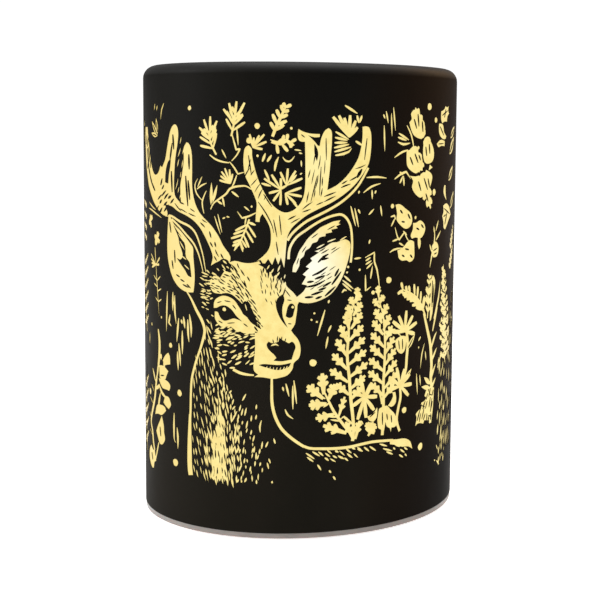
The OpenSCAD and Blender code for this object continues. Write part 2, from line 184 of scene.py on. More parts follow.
def sprig(route, needle, width, spread, pitch, stem, seed):
    """A twig set with needles on both sides, longest in the middle."""
    dice = random.Random(seed)
    spine = curve(points(route), steps=6)
    brush(GOLD, points(route), stem, 0.9, 0.4)
    run = 0.0
    total = sum(math.dist(a, b) for a, b in zip(spine, spine[1:]))
    due = pitch
    for a, b in zip(spine, spine[1:]):
        run += math.dist(a, b)
        if run < due:
            continue
        due += pitch
        heading = math.atan2(b[1] - a[1], b[0] - a[0])
        size = needle * (0.55 + 0.45 * math.sin(math.pi * min(1.0, run / total + 0.15)))
        for side in (-1, 1):
            angle = heading + side * math.radians(spread + dice.uniform(-8, 8))
            reach = size * dice.uniform(0.85, 1.1)
            tip = (b[0] + reach * math.cos(angle), b[1] + reach * math.sin(angle))
            brush(GOLD, [b, tip], width, 0.45, 0.6, 0.66)


def leaf(base, tip, width, vein=0.5):
    """A pointed oval leaf. A vein of some width cuts its midrib back out."""
    (x0, z0), (x1, z1) = base, tip
    dx, dz = x1 - x0, z1 - z0
    middle = (x0 + dx / 2, z0 + dz / 2)
    brush(GOLD, [base, middle, tip], width, 0.12, 0.05, 0.42, steps=5)
    if vein:
        near = (x0 + dx * 0.12, z0 + dz * 0.12)
        far = (x0 + dx * 0.72, z0 + dz * 0.72)
        brush(BLACK, [near, middle, far], vein, 0.6, 0.1)


def lobed(base, tip, width, lobes=5):
    """A feathery leaflet: round lobes on both sides of a rib, swept towards the tip."""
    (x0, z0), (x1, z1) = base, tip
    dx, dz = x1 - x0, z1 - z0
    length = math.hypot(dx, dz)
    ux, uz = dx / length, dz / length
    lobe = 0.92 * length / lobes
    outline = {1: [], -1: []}
    for side in (1, -1):
        for k in range(lobes):
            middle = (k + 0.5) / lobes
            reach = width / 2 * math.sin(math.pi * (0.25 + 0.6 * middle))
            for along, out in ((0.0, 0.3), (0.3, 0.85), (0.75, 1.0), (1.05, 0.8), (0.98, 0.35)):
                a, r = k * lobe + along * lobe, out * reach
                outline[side].append((x0 + ux * a - uz * side * r, z0 + uz * a + ux * side * r))
    shapes.append((GOLD, [base] + outline[1] + [tip] + outline[-1][::-1]))


def oak(base, tip, width):
    """A leaflet with two blunt lobes on each side."""
    (x0, z0), (x1, z1) = base, tip
    dx, dz = x1 - x0, z1 - z0
    length = math.hypot(dx, dz)
    brush(GOLD, [base, tip], 0.62 * width, 0.5, 0.55, 0.7)
    for share, reach in ((0.38, 0.5), (0.68, 0.42)):
        root = (x0 + share * dx, z0 + share * dz)
        for side in (-1, 1):
            end = (root[0] + reach * (0.42 * dx - side * 0.5 * width * dz / length),
                   root[1] + reach * (0.42 * dz + side * 0.5 * width * dx / length))
            out = (end[0] - side * 0.3 * width * dz / length, end[1] + side * 0.3 * width * dx / length)
            brush(GOLD, [root, out], 0.42 * width, 0.8, 0.7, 0.6)


def inside(u, z, outline):
    """True where a point lies in an outline."""
    hit = False
    for (x0, z0), (x1, z1) in zip(outline, outline[1:] + outline[:1]):
        if (z0 > z) != (z1 > z) and u < (x1 - x0) * (z - z0) / (z1 - z0) + x0:
            hit = not hit
    return hit


def hatch(tone, text, angle, length, width, gap, seed, wander=14):
    """Fills an outline with loose strokes that lean at angle degrees and keep a gap between them."""
    dice = random.Random(seed)
    outline = points(text)
    us, zs = [p[0] for p in outline], [p[1] for p in outline]
    cells = int((max(us) - min(us)) * (max(zs) - min(zs)) / (gap * length * 0.5))
    along = math.cos(math.radians(angle)), math.sin(math.radians(angle))
    across = -along[1], along[0]
    placed = []
    for _ in range(cells * 3):
        u, z = dice.uniform(min(us), max(us)), dice.uniform(min(zs), max(zs))
        lean = math.radians(angle + dice.uniform(-wander, wander))
        reach = length * dice.uniform(0.6, 1.25)
        if not inside(u, z, outline):
            continue
        if any(abs((u - p) * across[0] + (z - q) * across[1]) < gap
               and abs((u - p) * along[0] + (z - q) * along[1]) < length * 0.8 for p, q in placed):
            continue
        placed.append((u, z))
        bow = dice.uniform(-0.08, 0.08) * reach
        du, dz = reach / 2 * math.cos(lean), reach / 2 * math.sin(lean)
        middle = (u - dz / reach * bow, z + du / reach * bow)
        brush(tone, [(u - du, z - dz), middle, (u + du, z + dz)], width * dice.uniform(0.75, 1.2), 0.2, 0.1)


def left_ear_and_antler():
    area(GOLD, """-92.5,148.5 -93.5,138 -93.3,130 -92,125 -90,120.5 -87,117 -84,115 -80,113.8 -76,114
        -75.5,117 -75.2,122 -76,131 -76.2,135 -77.5,136.5 -80,139 -84,142.5 -88,145 -91,148.8""")
    area(BLACK, """-88.5,144.5 -86,142 -83,139 -81,135.5 -80.5,130 -78.5,128 -77.8,125 -77.3,121 -79,121.5
        -81,124 -83,126 -86.3,129.3 -84,128.8 -82.5,130.5 -83,133 -84.5,136 -85.2,139""")
    strokes(GOLD, 0.8, """-85.5,141>-81.5,137 -84.5,137.5>-81.3,133.5 -83,130.5>-80.2,129
        -81.5,126.5>-78.5,124.5""")
    strokes(BLACK, 0.7, """-82.5,117.2>-79,116 -80,117.5>-77.8,115.8 -91.5,146>-90.5,141
        -84,119.5>-81.5,118.5 -86.8,121.5>-84.5,120.5 -88,133>-87.6,127 -89.8,128>-89,124""")
    line(GOLD, 1.2, """-95,149 -90,148.8 -84,146.5 -78,144.5 -75,142 -72.5,137 -70.5,131 -69.5,126
        -69,124""", end=0.4)
    line(GOLD, 1.2, "-90,147.5 -85,144.5 -80,140.5 -76,137 -73.5,133 -72,129 -70.5,123.5", end=0.4)
    area(GOLD, """-57,128.5 -58,130 -60.5,130.5 -62,129.5 -64,128.5 -66.5,127 -65.5,131 -66.5,134.5
        -68,137.5 -70,141 -72.5,144.5 -76,147.5 -80,149.5 -86,151.5 -90,153.5 -95,154 -93,150.5 -93,148.5
        -97,149 -101,151 -106,154.5 -110,158.5 -113,162 -115.5,167 -117.5,172 -119,180 -119.5,188 -119,190.3
        -114,190.3 -111.5,181 -109.5,175 -107,170 -104,167.7 -101,169 -99,172.5 -97.5,171.5 -95,175
        -93.5,180 -92,185 -90,190 -87.5,191.7 -86,191 -85,188 -85.5,183 -87,176 -87.7,170 -88,163 -87.5,159
        -86.5,157.5 -83.5,155.2 -84,163 -83,168 -81.7,175 -81.5,181 -80,183.5 -78.5,183 -77,180 -76.5,172
        -76.5,163 -75,156 -72.5,151.5 -70,149 -66,145.5 -62.5,141 -60,136.5 -56.5,131.5""")
    area(BLACK, "-91.5,175 -93.5,172 -94.5,168 -94.7,164.5 -92.5,164 -92,168 -91,172 -90.5,175")
    strokes(BLACK, 1.0, """-98.7,163>-97.4,166.2 -91,175>-89.3,183 -114.6,180>-112.4,170
        -112.8,171>-110.3,166.5 -111,167.5>-107.5,162.5 -108,163.5>-104.5,160 -80.5,168>-79.2,154
        -79,166>-78,157 -78.5,178>-78.3,171 -88.8,187>-88.2,180 -90,170>-89.5,160""")
    hatch(BLACK, "-103,150.5 -91,150.5 -89,155 -91,160 -96,163 -101,158", 40, 4.4, 1.0, 1.9, seed=3)
    hatch(BLACK, "-88,153 -76,149.5 -70,144.5 -69,147.5 -75,151.5 -84,156", -28, 4.5, 0.6, 1.7, seed=4)
    hatch(BLACK, "-67,142 -62,137 -59,131.5 -64,130 -66.5,135", -62, 4.0, 0.6, 1.6, seed=5)
    hatch(BLACK, "-117,188 -113,186 -108,172 -110,168 -115,172", 72, 5.0, 0.6, 2.0, seed=6)
    hatch(GOLD, "-87,160 -83,157 -81,184 -84,186", 72, 6.0, 0.7, 1.9, seed=7, wander=6)
    strokes(GOLD, 1.0, "-112.5,154.5>-107,152>-103.5,151 -113,151.3>-108,150.5>-98,147.5")


def right_antler():
    area(GOLD, """-44,130 -39.5,134 -38,137 -37.6,141 -38,145 -39.5,148.5 -41.5,151.5 -42.5,150 -42.8,147.8
        -44.7,148 -44.5,152 -44.2,156.5 -45,159 -48,165.5 -49.5,168.5 -50.3,173 -50.3,178 -49.5,181.5
        -48,182.5 -46.5,181 -46.3,178 -45,172 -43,166 -40.5,161 -38,157 -35,154 -31.5,152.3 -28,153
        -25,155.5 -23,159 -22.2,163 -22,170 -22.3,184.3 -24.5,184.5 -25.5,186 -25.3,190 -23.5,189 -20,188
        -15.5,187.8 -15.5,186.5 -18,186.3 -21,187.3 -19.5,186 -17.5,184 -16.2,182.5 -15.5,182.5 -14.8,186
        -13,189.5 -11.5,190.5 -10.2,189.5 -9.8,186 -10.3,178 -10.8,171 -11.8,162.5 -8,164.3 -5,166.5
        -2,169.5 1,173.5 3,177 4.2,181 5,186 5,191.2 8,191.2 9.3,189 9.7,186 9.5,180 8.5,174.5 6.5,171
        3.5,167 0,163.4 -5,159.6 -10,156.6 -16,153.8 -21,151.2 -25,148.2 -28.3,145 -30,141.5 -30.6,137
        -31,132 -31.5,127 -33,131.8 -34.2,128.5 -35.6,132 -37,128.3 -38.8,131 -40.8,128.2 -42.4,130.6""")
    line(GOLD, 1.2, """8.2,172.5 4,165.5 0,161 -5,157 -10,154 -16,151 -21,148.5 -25,145.5 -28.5,142
        -30,139.5""")
    strokes(BLACK, 0.55, """-24,187.5>-22.3,186.2 -43.5,157>-40,152>-37,146>-36.3,143 -14.8,173>-15.5,160
        -16.5,169>-19.5,157 -36.4,149>-34.8,141 -33.8,151>-32.8,142 -35.2,139>-34.2,133 -48,178>-46.6,169
        -12.6,186>-12.4,176 7.4,186>6.2,176 -41,160.5>-37.2,154.8""")
    area(BLACK, "-18,183.4 -16.6,181 -16.2,178.5 -16.8,175.5 -17.9,179")
    strokes(BLACK, 1.5, "2.5,168>5,172")
    hatch(BLACK, """-29,146.5 -24,150.5 -14,156 -4,161.5 3,168 6,174 3,173 -4,166 -12,160 -22,155
        -28,151""", 28, 5.2, 0.7, 1.7, seed=8, wander=9)
    hatch(BLACK, "-21,158 -13,162 -12,176 -14.5,180 -20,176", 82, 6.0, 0.5, 1.9, seed=9, wander=6)
    hatch(BLACK, "-49,170 -45.5,161 -41,156 -38.5,159 -45,168 -47.5,179", 62, 4.5, 0.5, 1.8, seed=10)
    strokes(GOLD, 0.7, """-27,180.7>-24,180.3 -25,179.3>-23.5,178.9 -24,175.8>-23.8,173
        -24.5,169.5>-23.5,170.2""")


def right_ear():
    line(GOLD, 1.15, """-29.5,131 -29,136 -26,141 -22,144 -17,147.3 -12,149.8 -8,151 -5,151.2 -2.5,149.5
        -0.6,146 0.2,141 0.3,135 -0.3,129""")
    area(GOLD, """-27.7,125.2 -27.4,128 -26,131 -24.6,134.8 -22.8,137.4 -20.6,140.6 -18,142.9 -15,145.4
        -12,146.8 -8.6,148.2 -5.4,148.6 -6.4,147.2 -5.4,146.8 -7.6,145.9 -6.8,145 -9.8,144.4 -9.4,143.2
        -12.4,142.6 -12.6,141.4 -15.4,140.8 -16.4,139 -18.6,138.2 -19.8,136.2 -21.8,134.8 -22.6,132.4
        -24.2,130.8 -24.6,128 -26.2,125""")
    strokes(BLACK, 0.5, """-19,140.6>-16,142.8 -23.4,134>-21.4,137 -11.6,144.4>-8,146.2
        -25.8,128.6>-24.8,131.6""")
    area(GOLD, """-3.2,139.8 -7,138.6 -9.5,138.4 -13,136.3 -17.5,134.6 -15.5,134 -19.5,131.4 -18.6,130.2
        -21.6,127.5 -20,126.8 -23,124 -21.4,123 -23.4,119.5 -21,119 -22.6,116.2 -26,113.4 -25.5,112
        -22,110.8 -18,111 -14,112.3 -10,114.5 -6.5,118.5 -4,123 -2,128.5 -0.5,135 -0.8,138.5""")
    strokes(BLACK, 1.1, """-16,129.4>-14,131.3>-11,133.2 -15,130.6>-11,131.4 -18.6,123.4>-15,125>-11.5,127.4
        -21.5,118.2>-17,119>-12.5,121.2 -19,114.5>-13.5,116.2 -12.6,113.8>-7.6,118.2 -9.4,119>-4.9,125
        -17.4,121.8>-12.8,123.4 -21,120.4>-17.8,120.8 -8,122.8>-6,126.4 -13.6,118.2>-9.6,120.4
        -17,112.7>-14,113.8 -22,113.4>-18,113.6 -15.6,116.6>-12,117.8""")
    hatch(BLACK, "-17,132.8 -14,135.5 -6,137.5 -6.5,134.5 -12,131.6", 28, 4.6, 0.5, 1.2, seed=17, wander=7)
    hatch(BLACK, "-20,116 -15,117.5 -9,123 -7,128 -12,126 -17,121", 30, 3.6, 0.4, 1.4, seed=28, wander=7)
    strokes(GOLD, 0.7, "-16.6,136>-13,137.8 -11.6,138.8>-7.6,140.2 -5.6,139.4>-2.4,141.2")


def head():
    area(GOLD, """-57,129 -54.5,129.8 -50,129 -47,129 -44.5,129.5 -43,130 -41,127.5 -38,126 -35,124.5
        -32.5,122.5 -30.8,120.5 -30.5,119 -27.5,116 -25.5,113.5 -24.5,112 -25.3,110 -25.5,107.5 -26,104
        -26.5,101 -28.2,98.3 -27,96.5 -25.5,94.8 -24.3,92.5 -23.8,90 -24,87 -24.8,85 -26,84 -27,82.8
        -27.3,80.8 -28.3,79 -30,77.3 -33,76.3 -36,75.7 -37.8,75.8 -41,76.3 -45.2,76.3 -43.3,77.5 -45,78.8
        -45.5,80 -45.3,84 -45,87 -44.8,92 -45,97 -43,97 -40,99 -40,102 -43,106 -46,110 -47,113 -49,117
        -52,122 -55,127""")
    area(GOLD, """-65,108 -64.5,111 -62.5,112.7 -60,113.5 -57,113 -54.5,111.5 -53,109.5 -51,106.5
        -50.5,105.5 -48.5,104 -47,102 -45,100.5 -45,97 -50,96.5 -52,97.3 -54,97.6 -56.5,99.3 -61,99
        -62.5,100 -63.8,101.5 -64.5,103 -64.5,105.5""")
    area(GOLD, """-67,119.5 -65,122.5 -61.5,122 -59.5,125 -57,124.5 -56,128 -52.5,122.5 -49,117.5 -46.5,113
        -42.5,108.5 -39.5,102 -39.5,98.4 -42.5,96.4 -45,98 -46,101.5 -47.5,105 -50,109 -53.5,112.4
        -57.5,114.2 -62,114.3 -65.5,115""")
    hatch(BLACK, """-67,120 -61,123 -57,126.5 -51,118 -54,112.5 -60,114.5
        -65.5,115.5""", -24, 2.9, 0.55, 0.95, seed=35)
    hatch(BLACK, """-57.5,127.5 -53.5,125 -46.5,113.5 -42,104 -41.5,98 -45.5,101 -50,109
        -54,115""", -52, 3.1, 0.6, 0.85, seed=36, wander=8)
    hatch(BLACK, """-41.5,127.5 -35,124.5 -30.8,119.5 -31,113 -33,111 -36,117
        -40,122""", 78, 4.4, 0.65, 1.5, seed=12)
    hatch(BLACK, "-56,128 -50.5,120.5 -47,113.5 -45,113.5 -47,120 -51,127.5", -58, 4.2, 0.65, 1.5, seed=13)
    hatch(BLACK, "-42,127 -33,125 -31.5,115 -34.5,109 -38.5,110 -43,118", -76, 3.0, 0.42, 1.35, seed=14)
    hatch(GOLD, "-64,128.5 -56,129.5 -55,127 -59,124.5 -65,122", -40, 3.0, 0.8, 1.9, seed=15)
    area(BLACK, """-43.4,128.4 -40.6,129 -38.7,127.2 -36.7,128.4 -34.4,127.2 -32,126.6 -30,125 -29.2,119.4
        -30.4,121.6 -31.6,119.8 -32.6,122.6 -34,121 -34.8,124 -36.6,122.8 -37.4,125.2 -39.6,124.6
        -40.2,126.6""")
    hatch(GOLD, """-64,100 -55,99.5 -45.3,98 -45.3,93 -50,91.6 -57,93.6
        -63.5,94.6""", 14, 3.0, 0.8, 1.0, seed=37, wander=20)
    hatch(GOLD, "-64.5,94 -59,95 -57,88 -59,81.5 -63.5,84", 4, 2.9, 0.8, 2.1, seed=38)
    hatch(GOLD, "-56,91 -46,92 -46,84.5 -52,80.6 -57.5,82", 34, 3.0, 0.8, 2.5, seed=39)
    strokes(GOLD, 0.8, """-44.8,95>-47.5,93.6 -44.8,91>-47.2,89.4 -45,87>-47,85.6 -45,83>-47.4,82
        -44.8,97>-47.6,96.6""")
    hatch(GOLD, "-70,124 -63,123.5 -66,113 -68,106 -72,108", -12, 2.6, 0.6, 1.15, seed=19)
    hatch(GOLD, "-40.5,129.5 -33,126.5 -30.5,122 -33,122.5 -40,127", 62, 2.8, 0.7, 1.9, seed=16)
    eyes_and_brow()
    muzzle()
    strokes(GOLD, 0.8, """-72.3,121.3>-69.5,120 -72.8,118.5>-70,117 -71.5,115.3>-69,114.9
        -71.8,112.3>-68,112.2 -71.3,109.8>-69,109 -69.3,118.8>-65.5,118.3 -68.5,115.2>-66.3,115.6
        -68,114>-66,114.2 -67,111.5>-65.3,112.2 -68,120>-65,120.2>-62.5,120.8 -63.8,122.3>-61.8,121.6
        -71.5,123.8>-67.5,122.5 -68.8,125>-67,123.5 -60.8,127.8>-59,125.5""")
    strokes(GOLD, 0.95, """-63.3,97.3>-61.7,96.7 -64,95.7>-60,96.8 -65,94.7>-61,94.5 -64.8,93.3>-62,93.8
        -63.5,92.3>-60.5,93 -58.5,97>-55.5,98.3 -59.5,94.8>-56,96.8 -57.7,93.2>-54.5,95 -58,91.8>-56,92.6
        -56.5,91.2>-54.7,92.2 -63.3,90>-60.5,90.7 -63.8,89.2>-62,88.5 -63.2,87.5>-61,86.3
        -60.7,87.3>-58,87.8 -60.8,85.5>-58.3,86.3 -62.3,83.7>-60.4,84 -60.8,82>-58.2,81.2
        -55.5,85>-53.3,86.4 -52.8,86.5>-51,87.3 -54,84>-51,85.7 -54,81.8>-51.3,83.3 -49.8,89>-48.3,90
        -49.8,87.3>-48.2,88.5 -49,86.5>-47.7,87.5 -47.8,85.3>-46.7,86.3 -57,80>-54.3,80.3""", start=0.4)
    line(GOLD, 1.4, "-55.3,79.5 -52,78 -48,77.3 -45.3,77.2", end=0.5)


def eyes_and_brow():
    area(BLACK, """-65.3,107.5 -63.5,107.7 -61.5,108.7 -59.5,109 -57.5,108.3 -55.5,106.7 -54,104.7
        -52.5,103.3 -51,102 -52.5,102.6 -55,103.2 -57.5,102.3 -59.5,101.9 -61,102.7 -62.2,104.5 -62.7,105.6
        -63.8,106 -65,105.5""")
    dot(GOLD, -59.6, 107.2, 0.95)
    stroke(BLACK, 0.8, "-63,112.8 -60,114.3 -57,114.2 -54,112.5 -51.5,109.5")
    strokes(GOLD, 0.7, "-66.3,104.2>-65,103.5")
    strokes(BLACK, 0.5, """-63.2,110>-61,110.8 -59.5,111.2>-56.5,110.8 -62.5,101.7>-60.5,100.7
        -58,100.8>-54.5,101.2 -50.2,101>-48.2,99.6 -55.5,109.4>-53.8,107.4""")
    area(BLACK, """-49.5,111.5 -47.5,110.5 -46.3,108 -45.5,106 -44.5,104 -44,102 -43.6,100.2 -45,100.5
        -47,102 -48.5,104 -50.8,107 -51,110""")
    strokes(BLACK, 0.8, "-44.5,103>-41.5,100.4 -44.8,101>-42,98.8 -46,106>-43,102.6 -45.2,99.8>-43.5,97.6")
    strokes(GOLD, 0.6, """-46.8,109>-45.8,107.6 -44.4,104>-43.6,102.8 -42.2,101.3>-41.2,100.3
        -49.5,110>-48.6,107""")
    area(BLACK, """-35.2,110 -34.5,113 -32,115 -31.3,112.5 -32.2,109 -32,104.5 -31,102 -29.8,99.5 -32,102
        -34,105.5""")
    area(BLACK, """-30.7,104.8 -30.3,107 -29.6,109.5 -28.5,110.6 -27.3,110.4 -26.5,109 -27,106.5 -27.5,104.7
        -29,104""")
    dot(GOLD, -27.5, 109.0, 0.62)
    strokes(BLACK, 0.5, "-31,117>-28.6,113.8 -30,112.3>-28,112.1 -29.6,101.4>-28,101.2")


def muzzle():
    area(BLACK, """-38.5,93 -39.4,91.7 -38.8,89.8 -37.5,88.3 -36,87 -34.9,85.5 -36.2,84.2 -33,83.9 -30,84.3
        -27.8,84.8 -27.5,86 -26.8,88.3 -26.1,90.5 -26.8,92.3 -27.8,93 -29.2,92.3 -30.5,93 -32.5,94 -33.5,95
        -34,93 -37,92.3""")
    stroke(GOLD, 0.9, "-37.4,91 -35.3,91.8 -33.8,91")
    strokes(BLACK, 0.5, "-34.6,93>-34.3,95.6 -32.6,93.6>-32.4,95.4 -31,93>-30.6,94.6 -36.2,92.4>-36.6,94")
    area(BLACK, """-43,82 -41,82.5 -37,82.3 -33,82.2 -28.2,83.2 -29,81.5 -31,80.5 -33,79.9 -36,80 -38.5,80.7
        -41,81.3""")
    strokes(GOLD, 0.4, """-39.6,80.4>-39.1,81.6 -38,80>-37.6,81.4 -36.4,79.6>-36.1,81.2
        -34.9,79.5>-34.5,81.2 -33.4,79.6>-32.8,81.2 -31.8,80>-31.1,81.4 -30.4,80.6>-29.8,81.8""")


def neck_and_back():
    stroke(GOLD, 1.7, """-80,114 -77.5,111 -74.5,106 -71.5,101.5 -70,98 -69.8,96 -70.8,92
        -72.5,87""", 0.5, 0.75)
    stroke(GOLD, 1.4, "-72.4,87.4 -74.5,82 -76,77.5 -77.2,73 -77.8,65 -78,58 -78.5,50", 0.9, 1.0)
    brush(GOLD, points("-78.3,56 -78.5,50 -78.7,40 -78.5,30 -78,26.7"), 3.0, 0.5, 0.95, belly=0.9)
    hatch(GOLD, """-76,80 -72,86 -69,98 -66,100 -65,82 -67,66 -68,50 -67,27 -76.4,27 -76.9,50
        -75.9,70""", -78, 5.2, 0.78, 1.2, seed=20, wander=7)
    strokes(GOLD, 0.9, """-68.8,102>-67,100 -68.3,98.5>-66.3,95.3 -68,95>-65.5,88.7 -69,88.5>-67.5,82.5
        -66.8,88>-66.3,84 -71.3,84>-71,80""")
    area(GOLD, """-66.6,27.5 -65.9,31 -66.6,35 -65.6,40 -66,45 -64.4,50 -63.2,57 -62,63.5 -60.9,58 -59.6,52
        -59,45 -58.3,40 -58.8,34 -58,30 -58.6,26.3 -60.6,28.6 -62,25.8 -63.6,28.4 -65,26""")
    hatch(BLACK, "-66,29 -65.5,44 -62.5,60 -60,52 -58.8,40 -59,29", -83, 5.0, 0.5, 1.15, seed=26, wander=8)
    hatch(GOLD, """-69,26 -70,34 -69,46 -66.5,58 -62.5,68 -58,64 -56.5,52 -55,44
        -55.5,26""", -82, 5.0, 0.95, 0.95, seed=21, wander=8)
    hatch(GOLD, """-68,70 -62,76 -57,70 -53.5,60 -51,48 -51.5,38 -53,26 -56.5,26 -56,44 -58,54
        -60.5,64""", -85, 4.2, 0.85, 1.2, seed=22, wander=10)
    hatch(GOLD, "-53,58 -48,52 -44,42 -41,33 -43,26 -53,26 -52,40", -96, 2.9, 0.72, 2.3, seed=27, wander=14)
    hatch(GOLD, "-69,66 -66,84 -62,86 -58,78 -60,66 -66,52", -78, 4.2, 0.8, 1.35, seed=23)
    strokes(GOLD, 0.85, """-50.8,65>-49,68.3 -52.3,60>-51.5,63 -51.3,58>-50.5,61.3 -49.7,58>-48.8,61.8
        -44.3,61.3>-44,63.5 -44.5,56.5>-44,58.7 -46.7,55.5>-46.3,58.3 -49,52>-48.2,55.7
        -42.3,50.5>-42.5,53>-41.7,56.2 -46.8,49.2>-46.3,51.5 -45.8,46>-45,49 -35.3,45.3>-36,47.8
        -39.8,43.5>-38.6,46.2 -41.7,42.7>-41.2,46.2 -42.8,40.3>-42.3,42.8 -45.3,40.8>-44.9,43.8
        -44.3,37.5>-44.1,41 -50.5,40.2>-50,43.2 -53.5,40.2>-52.8,42.7 -55.5,40.5>-54.5,43.3
        -54.3,44.7>-53,48.5 -55,45.7>-53.3,54.5 -56,54.7>-53.3,60 -55.7,60.5>-54.2,62.3
        -61.5,75.5>-62.5,73.5 -59.5,72>-61,67.5 -58.5,69>-59,67 -56,69.5>-57.3,68 -57,66.5>-57.7,64.5
        -55,65.5>-55.8,62.7 -38.3,38.2>-37.5,36 -39,36.3>-38.3,33.3 -47.2,31.8>-46.7,34.3
        -52.5,31.5>-51.3,34.5 -50,35.5>-49.5,38 -49.7,26.5>-48.8,28.7 -51.3,26.2>-51,27.5
        -53.3,26.2>-52.5,27.8 -44,26>-44,28 -36.8,26.5>-36.6,27.7""", start=0.4)
    stroke(GOLD, 1.5, """-37,76 -37,70 -36.9,65 -36,60 -34.5,56 -32.5,52.5 -30,49.8 -26,46.5
        -22,43.8""", 0.7, 0.9)
    stroke(GOLD, 1.4, "-22.5,44.2 -19.5,43 -14,42.5 -8,42.2 0,42.3 6,43 12,43.5 18,43.2 24,42.7", 0.9, 0.9)
    area(GOLD, "22,43.4 26,42.8 30,42.6 33,41.8 35.5,40 36.9,36.2 34,38 30,38.5 26,40 22,41")
    hatch(GOLD, "-16,41.5 6,41.5 3,37.5 -6,35.5 -14,37.5", -36, 3.2, 0.9, 1.5, seed=24, wander=8)
    strokes(GOLD, 0.95, """-21,40.7>-17,37.8 -20.5,38.8>-17.5,36.5 -18,41.3>-14.5,39 -15.5,35>-13.8,32.3
        -10,32>-9,30.7 -8,29>-6.8,27.2 4,41>7,39.5 7.5,41.5>10.3,39.2 10.5,41.5>14,39 16,42>20.5,40.3
        18,39.5>23.5,37.5 20,37.7>24,35.8 24,39>25.5,38 25,40.5>28.5,38.8 28.5,37.5>31.5,35.5
        27.8,35>30.5,33.3 31.5,34.8>33,33.5 31,38>33.5,36.5 -32,72>-31.5,70 -30.5,73.5>-29,67.5
        -27.3,72.5>-27.2,61.5 -26.8,75>-25.5,64 -30.8,61.5>-29.5,58.8>-27,57""", start=0.4)


